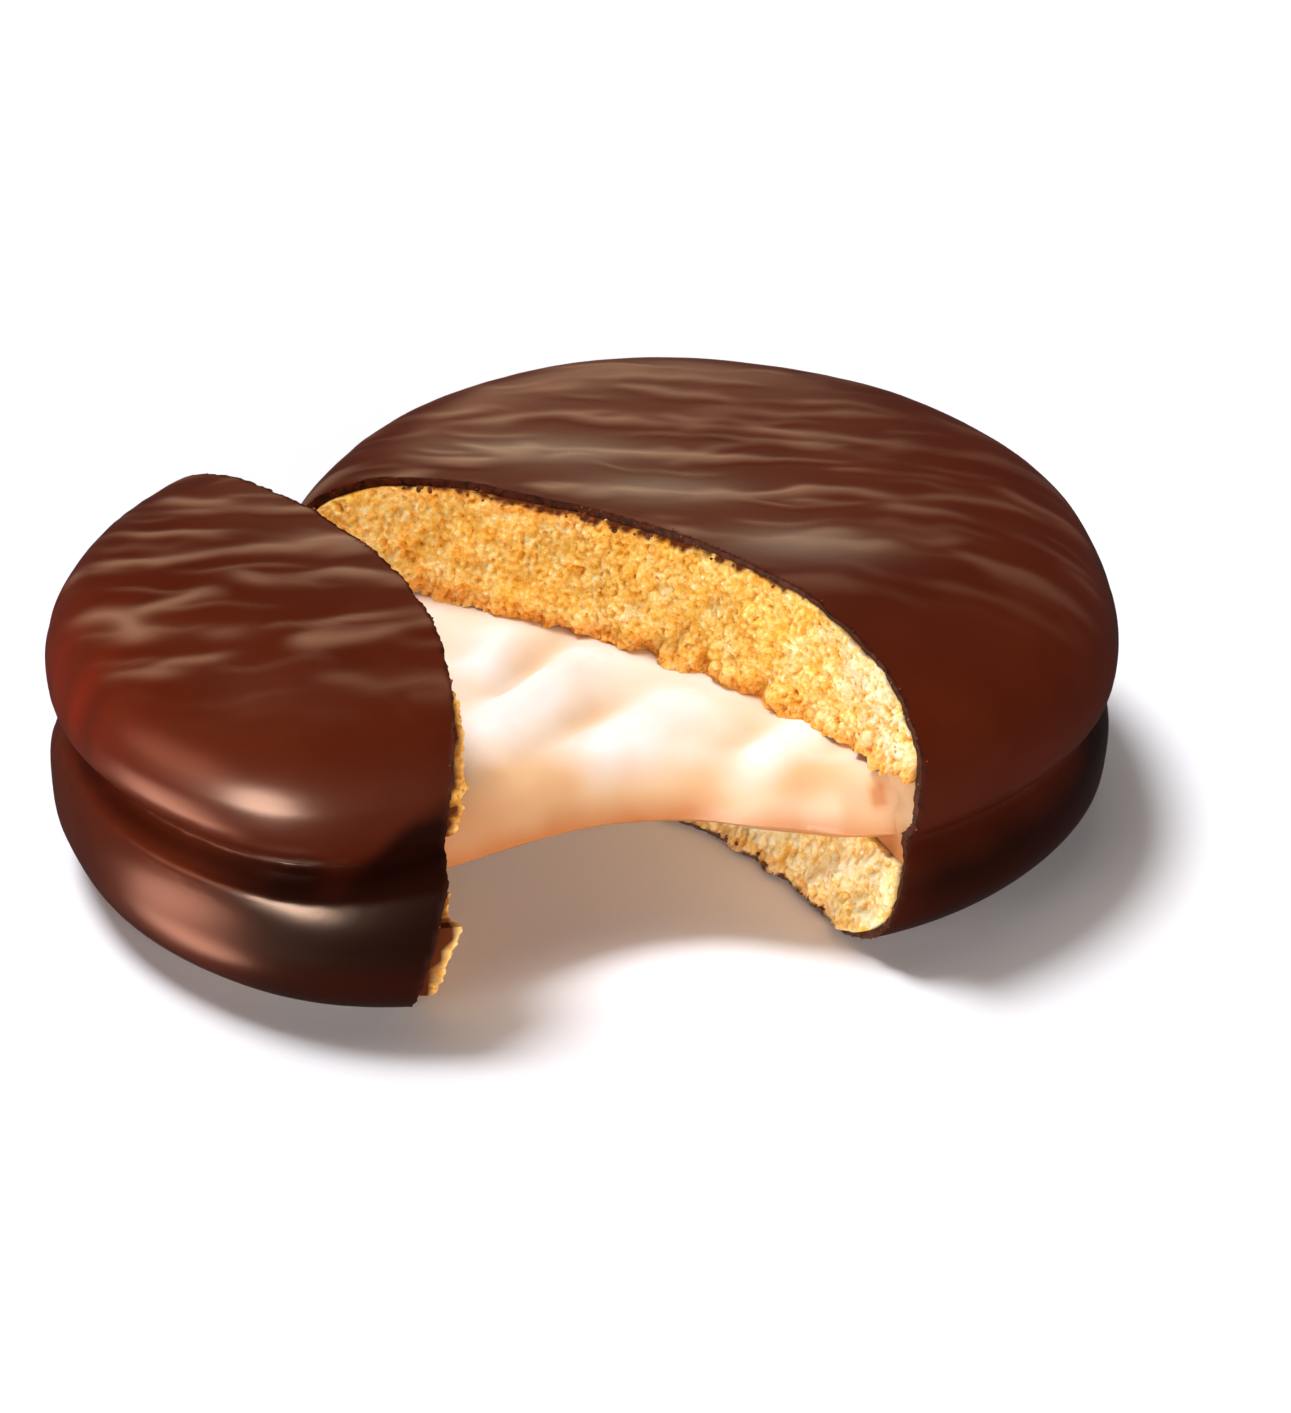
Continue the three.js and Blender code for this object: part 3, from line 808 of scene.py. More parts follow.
def pulled_marshmallow(looks):
    """Marshmallow, whipped, set soft and pulled.

    It is creamy white and lets light in, so its shadows are peach, with a wet-looking skin. Peach and a light caramel
    are also painted on as painted shade, towards its free near edge, low down and in the troughs of its folds, and a
    real smear of cake takes the caramel colour."""
    material, tree = blank("marshmallow, whipped and pulled")
    place = add(tree, "ShaderNodeTexCoord").outputs["Object"]
    edge = add(tree, "ShaderNodeAttribute", attribute_name="edge").outputs["Fac"]
    # Warmer and cooler clouds 7 mm across, and froth of 0.8 mm, drawn coarser than it is so that it shows.
    cloud = add(
        tree, "ShaderNodeTexNoise", {"Vector": place, "Scale": 1 / (7 * MM), "Detail": 2.0, "Roughness": 0.45}
    ).outputs["Fac"]
    froth = add(
        tree, "ShaderNodeTexNoise", {"Vector": place, "Scale": 1 / (0.8 * MM), "Detail": 3.0, "Roughness": 0.5}
    ).outputs["Fac"]
    # Clouds of warmer and cooler tone, and painted shade from the edge attribute, turn the colour towards peach and
    # caramel.
    warmth_and_shade = add(tree, "ShaderNodeMath", {0: cloud, 1: 0.5, 2: -0.25}, operation="MULTIPLY_ADD").outputs[0]
    warmth_and_shade = add(tree, "ShaderNodeMath", {0: warmth_and_shade, 1: edge}, operation="ADD", use_clamp=True).outputs[0]
    base = add(
        tree,
        "ShaderNodeValToRGB",
        {"Fac": warmth_and_shade},
        stops=[
            (0.0, (*looks.marshmallow, 1)),
            (0.26, linear("#f0dfce")),
            (0.55, (*looks.marshmallow_shade, 1)),
            (0.98, (*looks.marshmallow_deep_shade, 1)),
        ],
    ).outputs["Color"]
    fine = add(tree, "ShaderNodeBump", {"Height": froth, "Strength": 0.08, "Distance": 0.06 * MM}).outputs["Normal"]
    shader = add(
        tree,
        "ShaderNodeBsdfPrincipled",
        {
            "Base Color": base,
            "Roughness": 0.4,
            "IOR": 1.45,
            "Specular IOR Level": 0.2,
            "Subsurface Weight": 0.6,
            "Subsurface Radius": (1.0, 0.6, 0.38),
            "Subsurface Scale": 0.8 * MM,
            "Normal": fine,
        },
    )
    add(tree, "ShaderNodeOutputMaterial", {"Surface": shader.outputs["BSDF"]})
    return material


def loose_crumbs(name, dark, light, rough):
    """Crumbs of cake or chocolate, broken off the torn faces: matt, mottled between a dark and a light shade."""
    material, tree = blank(name)
    place = add(tree, "ShaderNodeTexCoord").outputs["Object"]
    shade = add(
        tree, "ShaderNodeTexNoise", {"Vector": place, "Scale": 1 / (0.9 * MM), "Detail": 3.0, "Roughness": 0.7}
    ).outputs["Fac"]
    base = add(tree, "ShaderNodeValToRGB", {"Fac": shade}, stops=[(0.35, dark), (0.65, light)]).outputs["Color"]
    fine = add(tree, "ShaderNodeBump", {"Height": shade, "Strength": 0.4, "Distance": 0.1 * MM}).outputs["Normal"]
    shader = add(
        tree,
        "ShaderNodeBsdfPrincipled",
        {"Base Color": base, "Roughness": rough, "IOR": 1.42, "Specular IOR Level": 0.35, "Normal": fine},
    )
    add(tree, "ShaderNodeOutputMaterial", {"Surface": shader.outputs["BSDF"]})
    return material


def white_card(looks):
    """Photographer's card, coated matt white: it shows soft shadows and nothing else."""
    material, tree = blank("white card, matt")
    place = add(tree, "ShaderNodeTexCoord").outputs["Object"]
    tooth = add(tree, "ShaderNodeTexNoise", {"Vector": place, "Scale": 1 / (40 * MM), "Detail": 2.0}).outputs["Fac"]
    base = add(
        tree, "ShaderNodeValToRGB", {"Fac": tooth}, stops=[(0.3, linear("#f4f7fd")), (0.7, (*looks.floor, 1))]
    ).outputs["Color"]
    look = {"Base Color": base, "Roughness": 1.0, "Specular IOR Level": 0.0}
    shader = add(tree, "ShaderNodeBsdfPrincipled", look)
    add(tree, "ShaderNodeOutputMaterial", {"Surface": shader.outputs["BSDF"]})
    return material


# ---------------------------------------------------------------------------------------------------------------
# Sizes and colours that a user would change
# ---------------------------------------------------------------------------------------------------------------


class PieSizes(bpy.types.PropertyGroup):
    ripple_height: bpy.props.FloatProperty(
        name="Ripple height",
        description="How far the poured ridges stand up from the chocolate on top",
        default=0.16 * MM,
        precision=5,
        unit="LENGTH",
        subtype="DISTANCE",
    )
    wall_ripple: bpy.props.FloatProperty(
        name="Wall unevenness",
        description="How far the chocolate on the side swells and sinks",
        default=0.16 * MM,
        precision=5,
        unit="LENGTH",
        subtype="DISTANCE",
    )
    coat_step: bpy.props.FloatProperty(
        name="Coat facets",
        description="Size of the facets of the chocolate's skin",
        default=0.42 * MM,
        precision=5,
        unit="LENGTH",
        subtype="DISTANCE",
    )
    crumb_step: bpy.props.FloatProperty(
        name="Crumb facets",
        description="Size of the facets of the torn sponge",
        default=0.16 * MM,
        precision=5,
        unit="LENGTH",
        subtype="DISTANCE",
    )
    seed: bpy.props.IntProperty(name="Seed", description="Where pores, crumbs and ripples fall", default=5)


class PieLooks(bpy.types.PropertyGroup):
    chocolate: bpy.props.FloatVectorProperty(
        name="Chocolate", description="Colour of the coat", default=linear("#541e0b")[:3], subtype="COLOR"
    )
    chocolate_deep: bpy.props.FloatVectorProperty(
        name="Deep chocolate",
        description="Colour of its darker clouds",
        default=linear("#441406")[:3],
        subtype="COLOR",
    )
    # Painted sheen: the colour laid along the crests of the poured waves.
    chocolate_ridge_sheen: bpy.props.FloatVectorProperty(
        name="Ridge tint", description="Colour of the poured ridges", default=linear("#9c765c")[:3], subtype="COLOR"
    )
    sponge: bpy.props.FloatVectorProperty(
        name="Sponge", description="Colour of the torn crumb", default=linear("#fcc45a")[:3], subtype="COLOR"
    )
    sponge_light: bpy.props.FloatVectorProperty(
        name="Light crumb",
        description="Colour of crumb that stands out",
        default=linear("#ffe498")[:3],
        subtype="COLOR",
    )
    sponge_pit: bpy.props.FloatVectorProperty(
        name="Bubbles", description="Colour inside the bubbles", default=linear("#e8a030")[:3], subtype="COLOR"
    )
    sponge_baked: bpy.props.FloatVectorProperty(
        name="Baked skin",
        description="Colour of the cakes' baked skin",
        default=linear("#fbac4c")[:3],
        subtype="COLOR",
    )
    marshmallow: bpy.props.FloatVectorProperty(
        name="Marshmallow", description="Colour of the filling", default=linear("#fbf6f4")[:3], subtype="COLOR"
    )
    # Painted shade: the warm colour towards the filling's free edge and in its troughs.
    marshmallow_shade: bpy.props.FloatVectorProperty(
        name="Warm marshmallow",
        description="Colour of the filling towards its free edge",
        default=linear("#e4bd92")[:3],
        subtype="COLOR",
    )
    # Painted shade: the deepest warm colour, at the free edge and low down.
    marshmallow_deep_shade: bpy.props.FloatVectorProperty(
        name="Marshmallow edge",
        description="Colour of the filling's thin free edge",
        default=linear("#ce8852")[:3],
        subtype="COLOR",
    )
    floor: bpy.props.FloatVectorProperty(
        name="Floor", description="Colour of the white card", default=linear("#fafbff")[:3], subtype="COLOR"
    )


# ---------------------------------------------------------------------------------------------------------------
# One operator for each piece or group of like pieces
# ---------------------------------------------------------------------------------------------------------------


class PIE_OT_coats(bpy.types.Operator):
    """Makes the chocolate coats of both parts, open where the pie is torn"""

    bl_idname = "pie.coats"
    bl_label = "Chocolate coats"

    def execute(self, context):
        sizes, looks = context.scene.pie_sizes, context.scene.pie_looks
        material = enrobed_chocolate(looks)
        for pie in (LARGE, SMALL):
            piece = self.coat(pie, sizes)
            piece.data.materials.append(material)
            join_frame(piece, "coating_" + pie["name"])
        return {"FINISHED"}

    def coat(self, pie, sizes):
        seed = sizes.seed + pie["crags"]

        def skin(points, top):
            """How far the poured waves, the wall's swells and the wrinkles in the crease move the skin, in mm."""
            z = points[:, 2]
            poured = self.crests(pie, points, seed) * sizes.ripple_height / MM * ease(top, 0.4, 0.95)
            angle, _ = seen_from(pie["centre"], points)
            around = 0.5 * (np.cos(angle) + 1) * pie["upper_radius"]
            swell = soft_noise(around / 7 + 3 * np.sign(np.sin(angle)), z / 6 + np.sin(angle) * 2, seed + 8)
            side = swell * sizes.wall_ripple / MM * (1 - ease(np.abs(top), 0.3, 0.9))
            creased = 1 - np.abs(layered_noise(angle * pie["upper_radius"] / 2.6, z / 1.1, seed + 12, 2))
            crease = bell(z - pie["crease"] - pie["crease_lift"] * at_front(angle), 2.2)
            wrinkles = 0.07 * np.clip(creased, 0, 1) ** 6 * crease * (1 - beside_tear(pie, points))
            return poured + side - wrinkles

        columns = int(round(2 * math.pi * pie["upper_radius"] / (sizes.coat_step / MM * 1.1)))
        outer = pie_body(pie, 0, sizes.coat_step / MM, columns, skin)
        inner = inner_body(pie, COAT)
        tear = tear_block(pie, 0, -1, 28, SNAP_STEP, lambda along, z: broken_relief(along, z, seed), pie["snap"])
        piece = carved(pie["name"] + "_coat", outer, ("DIFFERENCE", inner), ("DIFFERENCE", tear))
        self.mark(piece, pie, seed)
        return piece

    def crests(self, pie, points, seed):
        """Height from 0 to 1 of the poured waves over the whole coat, with where they turn down and fade out."""
        x, y = points[:, 0] - pie["centre"][0], points[:, 1] - pie["centre"][1]
        rim = ease(np.hypot(x, y) / pie["upper_radius"], 0.6, 1.1)
        left, right = pie["ripple_wrap"]
        wrapped = y + left * rim * np.maximum(-x, 0) + right * rim * np.maximum(x, 0)
        start, end, least = pie["ripples_fade"]
        fade = ease(y, *pie["ripples_end"]) * mix(1, least, ease(x, start, end)) * mix(1, 0.45, ease(y, 7, 22))
        return ripples(x, wrapped, pie["ripple_pitch"], seed) * fade

    def mark(self, piece, pie, seed):
        """Tells the chocolate where it is ridged, where painted sheen lies on the crests and in patches on top, where
        painted shade lies on the walls, where it is snapped, and where it is thin and red.
        """
        points = in_plan(piece.data)
        z = points[:, 2]
        top = ease(z, pie["height"] - 6, pie["height"] - 3)
        # Painted sheen along the crests of the poured waves on top.
        store(piece.data, "crest", self.crests(pie, points, seed) * top)

        # Painted sheen in broad patches on the top.
        bloom = np.zeros(len(points))
        for x, y, across, deep in pie["bloom"]:
            bloom += bell(points[:, 0] - x, across) * bell(points[:, 1] - y, deep)
        store(piece.data, "bloom", np.clip(bloom, 0, 1) * top)

        # Painted shade: darker chocolate low on the walls that lie in shade, up to an uneven, soft top.
        around = np.degrees(seen_from(pie["centre"], points)[0])
        start, end, height, soft, climb, climb_start, climb_end = pie["painted_shade_side"]
        limit = height + climb * ease(around, climb_start, climb_end)
        limit += 0.8 * soft_noise(around / 9, z / 5, seed + 9)
        sides = settle(np.clip((around - start) / 24, 0, 1)) * (1 - ease(around, end - 14, end))
        dark = sides * (1 - ease(z - limit, 0.5 - soft, 0.5)) * mix(0.8, 1, ease(z, 4, 8))
        store(piece.data, "dark", dark)

        angle, reach = seen_from(pie["tear_centre"], points)
        gap = np.abs(reach - tear_reach(pie, angle, z, 0, pie["snap"]))
        store(piece.data, "broken", (1 - ease(gap, 0.1, 0.3)) * (1 - 0.7 * dark))

        turn, height, strength = pie["ruddy"]
        off = (around - turn + 180) % 360 - 180
        streaky = 0.7 + 0.5 * soft_noise(off / 6, z / 9, seed + 10)
        store(piece.data, "ruddy", strength * streaky * bell(off, 26) * bell(z - height, 4.5))


class PIE_OT_cakes(bpy.types.Operator):
    """Makes the four sponge cakes, with porous torn faces"""

    bl_idname = "pie.cakes"
    bl_label = "Sponge cakes"

    def execute(self, context):
        sizes, looks = context.scene.pie_sizes, context.scene.pie_looks
        material = torn_sponge(looks)
        for pie in (LARGE, SMALL):
            for which in ("upper", "lower"):
                piece = self.cake(pie, which, sizes)
                piece.data.materials.append(material)
                join_frame(piece, which + "_cake_" + pie["name"])
        return {"FINISHED"}

    def cake(self, pie, which, sizes):
        seed = sizes.seed + pie["crags"] + (50 if which == "upper" else 90)
        body = inner_body(pie, CAKE_INSET)
        if which == "upper":
            slab = layer_slab(pie, lambda r: layer_height(pie, "upper", r) - 0.05, lambda r: 30 + 0 * r, 1)
            low, high, juts = pie["upper_base"] - 1.2, pie["height"] + 0.6, pie["upper_juts"]
        else:
            slab = layer_slab(pie, lambda r: -2 + 0 * r, lambda r: layer_height(pie, "lower", r))
            low, high, juts = 0.2, layer_height(pie, "lower", pie["upper_radius"]) + 0.6, pie["lower_juts"]

        def overhang(along, z):
            """How far clumps of the upper cake's lower edge hang out over the filling, in mm."""
            edge = 1 - ease(z, pie["upper_base"] + 1, pie["upper_base"] + 4)
            return OVERHANG * edge * ease(layered_noise(along / 2.7, z / 5, seed + 7, 2), -0.45, 0.6)

        def relief(along, z):
            return crumb_relief(along, z, seed) + overhang(along, z) * (which == "upper")

        tear = tear_block(pie, juts, low, high, sizes.crumb_step / MM, relief)
        piece = carved(pie["name"] + "_" + which + "_sponge", body, ("INTERSECT", slab), ("DIFFERENCE", tear))

        # What the sponge is told: where it is torn, how far its crumb stands out, which its colour follows as painted
        # light and shade, and where it is browned or pale.
        points = in_plan(piece.data)
        angle, reach = seen_from(pie["tear_centre"], points)
        along, z = angle * pie["tear_radius"], points[:, 2]
        share = tear_share(pie, angle)
        gap = np.abs(reach - tear_reach(pie, angle, z, juts) - pie["side"] * relief(along, z))
        torn = 1 - ease(gap, 0.15, 0.4)
        # Painted light: lighter colour at the far end of the upper cakes, which the small part shades, and on all of
        # the lower cakes, which lie in shade.
        painted_light = 0.08 * (1 - ease(share, 0.1, 0.4)) if which == "upper" else 0.2
        store(piece.data, "relief", 0.34 + painted_light + 0.85 * crumb_relief(along, z, seed))
        if which == "upper":
            near_filling = z - layer_height(pie, "upper", seen_from(pie["centre"], points)[1])
            beside_coat = pie["height"] - COAT + coat_gain(pie, points) - z
            baked = 1 - ease(near_filling, 0.3, 1.9)
            baked = np.maximum(baked, 0.75 * (1 - ease(beside_coat, 0.4, 2)) * (1 - ease(share, 0.3, 0.75)))
            baked = np.maximum(baked, 0.6 * (1 - ease(share, 0.03, 0.14)))
            # Paler towards the near end of the tear, partly painted light where that end turns towards the key.
            pale = 1.1 * ease(share, 0.66, 0.95) - mix(0.4, 0.12, ease(share, 0.2, 0.5))
        else:
            beside_coat = z - COAT + coat_gain(pie, points)
            baked = 0.8 * (1 - ease(z, 1.2, 2.4))
            pale = 0.25
        uneven = 0.35 * layered_noise(along / 0.9, z / 0.9, seed + 3, 2)
        store(piece.data, "torn", torn * ease(beside_coat + uneven, 0, 0.5))
        store(piece.data, "rim", torn * (1 - ease(beside_coat, 0.2, 0.9)))
        store(piece.data, "baked", np.maximum(baked, pie["toasted"]))
        store(piece.data, "pale", np.zeros(len(z)) + pale - pie["toasted"])
        return piece


class PIE_OT_filling(bpy.types.Operator):
    """Makes the marshmallow: both fillings and the stretched sheet between them, as one piece"""

    bl_idname = "pie.filling"
    bl_label = "Stretched marshmallow"

    def execute(self, context):
        large, small = self.filling(LARGE), self.filling(SMALL)
        piece = carved("pulled_marshmallow", self.sheet(), ("UNION", large), ("UNION", small))
        piece.data.materials.append(pulled_marshmallow(context.scene.pie_looks))
        store(piece.data, "edge", self.painted_shade_and_smear(in_plan(piece.data)))
        join_frame(piece, "marshmallow")
        return {"FINISHED"}

    def filling(self, pie):
        """The marshmallow between a part's two cakes, set back a little at the tear."""

        def low(reach):
            return layer_height(pie, "lower", reach) + 0.02

        def high(reach):
            return layer_height(pie, "upper", reach) - 0.02

        def relief(along, z):
            return 0.12 * layered_noise(along / 2.2, z / 2.2, 77, 2)

        body, slab = inner_body(pie, FILLING_INSET), layer_slab(pie, low, high)
        tear = tear_block(pie, -0.2, 4, 20, PULL_STEP, relief)
        return carved(pie["name"] + "_filling", body, ("INTERSECT", slab), ("DIFFERENCE", tear))

    def tear_point(self, pie, share, inwards):
        """Points on a part's tear at shares of its arc, moved into that part, at the filling's mid height."""
        angle = np.radians(mix(*pie["tear_angles"], share))
        reach = tear_reach(pie, angle, pie["crease"] + 2, 0) - pie["side"] * inwards
        x = pie["tear_centre"][0] + reach * np.cos(angle)
        y = pie["tear_centre"][1] + reach * np.sin(angle)
        out = np.hypot(x - pie["centre"][0], y - pie["centre"][1])
        middle = (layer_height(pie, "lower", out) + layer_height(pie, "upper", out)) / 2
        return np.stack([x, y, middle], axis=-1)

    def sheet(self):
        """One closed loft with a section at each station from the large part to the small. Each section starts at the
        low corner of the near edge, rolls over to the flat top, runs to the far edge and comes back underneath."""
        stations, over, under = 90, 200, 60
        near_lip, far_lip = BRIDGE["lips"]
        near_curl, far_curl = BRIDGE["curls"]
        points = []
        for crossing in np.linspace(0, 1, stations + 1):
            arch = math.sin(math.pi * crossing)
            near = np.interp(crossing, BRIDGE["near_share_at"], BRIDGE["near_share"]) - BRIDGE["near_pull"] * arch
            thick = mix(*BRIDGE["thickness"], crossing) - BRIDGE["thinning"] * arch
            arc = mix(*BRIDGE["arcs"], crossing)
            length = (near - BRIDGE["far_share"]) * arc
            roll = np.interp(crossing, BRIDGE["near_rounding_at"], BRIDGE["near_rounding"])
            inwards = BRIDGE["embed"] * (1 - arch) ** 3
            spread = np.linspace(0, 1, over) ** 1.35 * length  # closer together at the near edge
            top = np.sqrt(np.clip(1 - (1 - spread / roll) ** 2, 0, 1)) * (spread < roll) + (spread >= roll)
            back = length - spread
            top = top * np.sqrt(np.clip(1 - (1 - np.minimum(back / BRIDGE["far_rounding"], 1)) ** 2, 0, 1))
            low = np.linspace(length, 0, under + 2)[1:-1]
            lift = near_lip * (1 - ease(low, 0, near_curl)) + far_lip * (1 - ease(length - low, 0, far_curl))
            away = np.concatenate([spread, low])
            rise = np.concatenate([np.maximum(top, np.where(spread < length / 2, near_lip, far_lip)), lift])
            shares = near - away / arc
            line = mix(self.tear_point(LARGE, shares, inwards), self.tear_point(SMALL, shares, inwards), crossing)
            line[:, 2] += thick * (rise - 0.5) - BRIDGE["sag"] * arch
            fold = self.folds(line[:, 0], line[:, 1]) * arch**0.6 * np.clip((rise - 0.3) / 0.7, 0, 1)
            line[:over, 2] += fold[:over]
            points.append(line)
        around = over + under
        grid = np.arange((stations + 1) * around).reshape(stations + 1, around)
        after = np.roll(grid, -1, axis=1)
        faces = np.stack([grid[:-1], after[:-1], after[1:], grid[1:]], axis=-1).reshape(-1, 4).tolist()
        faces.append(grid[0][::-1].tolist())
        faces.append(grid[-1].tolist())
        return solid("sheet", np.concatenate(points), faces)

    def folds(self, x, y):
        """How far the folds raise the sheet's top, in mm."""
        total = np.zeros_like(x)
        for start, end, width, height in FOLDS:
            a, b = np.array(start), np.array(end)
            run = b - a
            length = np.hypot(*run)
            forward = ((x - a[0]) * run[0] + (y - a[1]) * run[1]) / length
            sideways = ((x - a[0]) * run[1] - (y - a[1]) * run[0]) / length
            ends = ease(forward, -3, 1.5) * (1 - ease(forward, length - 1.5, length + 3))
            total += height * bell(sideways, width) * ends
        return total

    def painted_shade_and_smear(self, points):
        """How warm the marshmallow is, from 0 to 1: painted shade most at its free near edge, low down and in its
        troughs, and a real smear of cake."""
        x, y, z = points.T
        # Painted shade near the free edge, low down and in the troughs; the smear is a real stain.
        away = y - np.interp(x, (-17, -7, 0, 8, 15), (-32.9, -26.2, -24.6, -24.9, -25.9))
        left = 1 - ease(x, -13, 1)
        near = (1 - ease(away, -1.5, mix(2.4, 8, left))) * mix(0.35, 0.5, left)
        low = 0.4 * (1 - ease(z, 8.5, 11.8))
        trough = -0.24 * self.folds(x, y)
        smear = 0.9 * bell(x - 13.4, 0.5) * bell(z - 12.6, 0.8) * (1 - ease(y, -27, -25))
        return np.clip(0.24 + smear + trough + near + low, 0, 1)


class PIE_OT_crumbs(bpy.types.Operator):
    """Scatters crumbs of sponge and of chocolate along the torn faces"""

    bl_idname = "pie.crumbs"
    bl_label = "Crumbs"

    def execute(self, context):
        golden = loose_crumbs("sponge crumbs, torn", linear("#c98434"), linear("#fbd890"), 0.9)
        brown = loose_crumbs("chocolate crumbs, snapped", linear("#4a1c0c"), linear("#8a4824"), 0.7)
        # What marks their places, how many there are on a square millimetre, their sizes in mm, material and slot.
        sponge = ("torn", 0.35, (0.16, 0.42), golden, "sponge")
        chocolate = ("broken", 0.9, (0.1, 0.3), brown, "chocolate")
        rim = ("rim", 1.3, (0.2, 0.55), brown, "chocolate")
        recipes = (
            ("large_sponge_crumbs", "large_upper_sponge", sponge),
            ("small_sponge_crumbs", "small_upper_sponge", sponge),
            ("large_chocolate_crumbs", "large_coat", chocolate),
            ("small_chocolate_crumbs", "small_coat", chocolate),
            ("upper_rim_crumbs", "large_upper_sponge", rim),
            ("lower_rim_crumbs", "large_lower_sponge", rim),
        )
        first_seed = 7
        for k, (name, host, (where, per_mm2, across, material, slot)) in enumerate(recipes):
            self.scatter(name, bpy.data.objects[host], where, per_mm2, across, first_seed + k, material)
            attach(bpy.data.objects[name], "root")
        return {"FINISHED"}

    def scatter(self, name, host, where, per_mm2, across, seed, material):
        """Runs the crumb tree on a copy of a piece and keeps the crumbs as a plain mesh, none below the floor."""
        tree = crumb_tree()
        carrier = bpy.data.objects.new(name + "_carrier", host.data.copy())
        bpy.context.scene.collection.objects.link(carrier)
        step = carrier.modifiers.new("crumbs", "NODES")
        step.node_group = tree
        values = {
            "Crumbs per square metre": per_mm2 / MM**2,
            "Smallest": across[0] * MM,
            "Largest": across[1] * MM,
            "Where": where,
            "Seed": seed,
            "Material": material,
        }
        for item in tree.interface.items_tree:
            if item.item_type == "SOCKET" and item.name in values:
                step[item.identifier] = values[item.name]
        bpy.context.view_layer.update()
        graph = bpy.context.evaluated_depsgraph_get()
        mesh = bpy.data.meshes.new_from_object(carrier.evaluated_get(graph))
        bpy.data.objects.remove(carrier)
        if not len(mesh.polygons):
            raise RuntimeError(name + " came out empty")
        flat = np.zeros(len(mesh.vertices) * 3)
        mesh.vertices.foreach_get("co", flat)
        flat[2::3] = np.maximum(flat[2::3], 0)
        mesh.vertices.foreach_set("co", flat)
        mesh.name = name
        made = bpy.data.objects.new(name, mesh)
        bpy.context.scene.collection.objects.link(made)


def crumb_tree():
    """Geometry Nodes that put small uneven lumps on the parts of a surface that an attribute marks."""
    tree = bpy.data.node_groups.new("crumbs on a torn face", "GeometryNodeTree")
    sockets = (
        ("Geometry", "INPUT", "NodeSocketGeometry"),
        ("Crumbs per square metre", "INPUT", "NodeSocketFloat"),
        ("Smallest", "INPUT", "NodeSocketFloat"),
        ("Largest", "INPUT", "NodeSocketFloat"),
        ("Where", "INPUT", "NodeSocketString"),
        ("Seed", "INPUT", "NodeSocketInt"),
        ("Material", "INPUT", "NodeSocketMaterial"),
        ("Geometry", "OUTPUT", "NodeSocketGeometry"),
    )
    for name, in_out, kind in sockets:
        tree.interface.new_socket(name, in_out=in_out, socket_type=kind)
    given = add(tree, "NodeGroupInput").outputs
    marks = add(tree, "GeometryNodeInputNamedAttribute", {"Name": given["Where"]}, data_type="FLOAT")
    marked = {0: marks.outputs["Attribute"], 1: 0.6}
    chosen = add(tree, "FunctionNodeCompare", marked, data_type="FLOAT", operation="GREATER_THAN").outputs[0]
    spots = add(
        tree,
        "GeometryNodeDistributePointsOnFaces",
        {
            "Mesh": given["Geometry"],
            "Selection": chosen,
            "Density": given["Crumbs per square metre"],
            "Seed": given["Seed"],
        },
    )
    # Each crumb is a small ball, turned at random, squeezed to 0.6 to 1 of its size in each direction, and then made
    # lumpy by a noise of 0.28 mm that moves its surface by up to 0.08 mm.
    lump = add(tree, "GeometryNodeMeshIcoSphere", {"Radius": 0.5, "Subdivisions": 2})
    whole_turn = (6.283, 6.283, 6.283)
    turn = add(
        tree,
        "FunctionNodeRandomValue",
        {0: (0.0, 0.0, 0.0), 1: whole_turn, "Seed": given["Seed"]},
        data_type="FLOAT_VECTOR",
    ).outputs[0]
    squeezed = {0: (0.6, 0.6, 0.6), 1: (1.0, 1.0, 1.0), "Seed": 3}
    uneven = add(tree, "FunctionNodeRandomValue", squeezed, data_type="FLOAT_VECTOR").outputs[0]
    between = {2: given["Smallest"], 3: given["Largest"], "Seed": 4}
    size = add(tree, "FunctionNodeRandomValue", between, data_type="FLOAT").outputs[1]
    scale = add(tree, "ShaderNodeVectorMath", {0: uneven, "Scale": size}, operation="SCALE").outputs[0]
    crumbs = add(
        tree,
        "GeometryNodeInstanceOnPoints",
        {"Points": spots.outputs["Points"], "Instance": lump.outputs["Mesh"], "Rotation": turn, "Scale": scale},
    )
    real = add(tree, "GeometryNodeRealizeInstances", {"Geometry": crumbs.outputs["Instances"]})
    place = add(tree, "GeometryNodeInputPosition").outputs[0]
    lumpy = {"Vector": place, "Scale": 1 / (0.28 * MM), "Detail": 1.0}
    bumps = add(tree, "ShaderNodeTexNoise", lumpy).outputs["Color"]
    centred = add(tree, "ShaderNodeVectorMath", {0: bumps, 1: (0.5, 0.5, 0.5)}, operation="SUBTRACT").outputs[0]
    push = add(tree, "ShaderNodeVectorMath", {0: centred, "Scale": 0.16 * MM}, operation="SCALE").outputs[0]
    rough = add(tree, "GeometryNodeSetPosition", {"Geometry": real.outputs[0], "Offset": push})
    coloured = add(tree, "GeometryNodeSetMaterial", {"Geometry": rough.outputs[0], "Material": given["Material"]})
    add(tree, "NodeGroupOutput", {"Geometry": coloured.outputs[0]})
    return tree


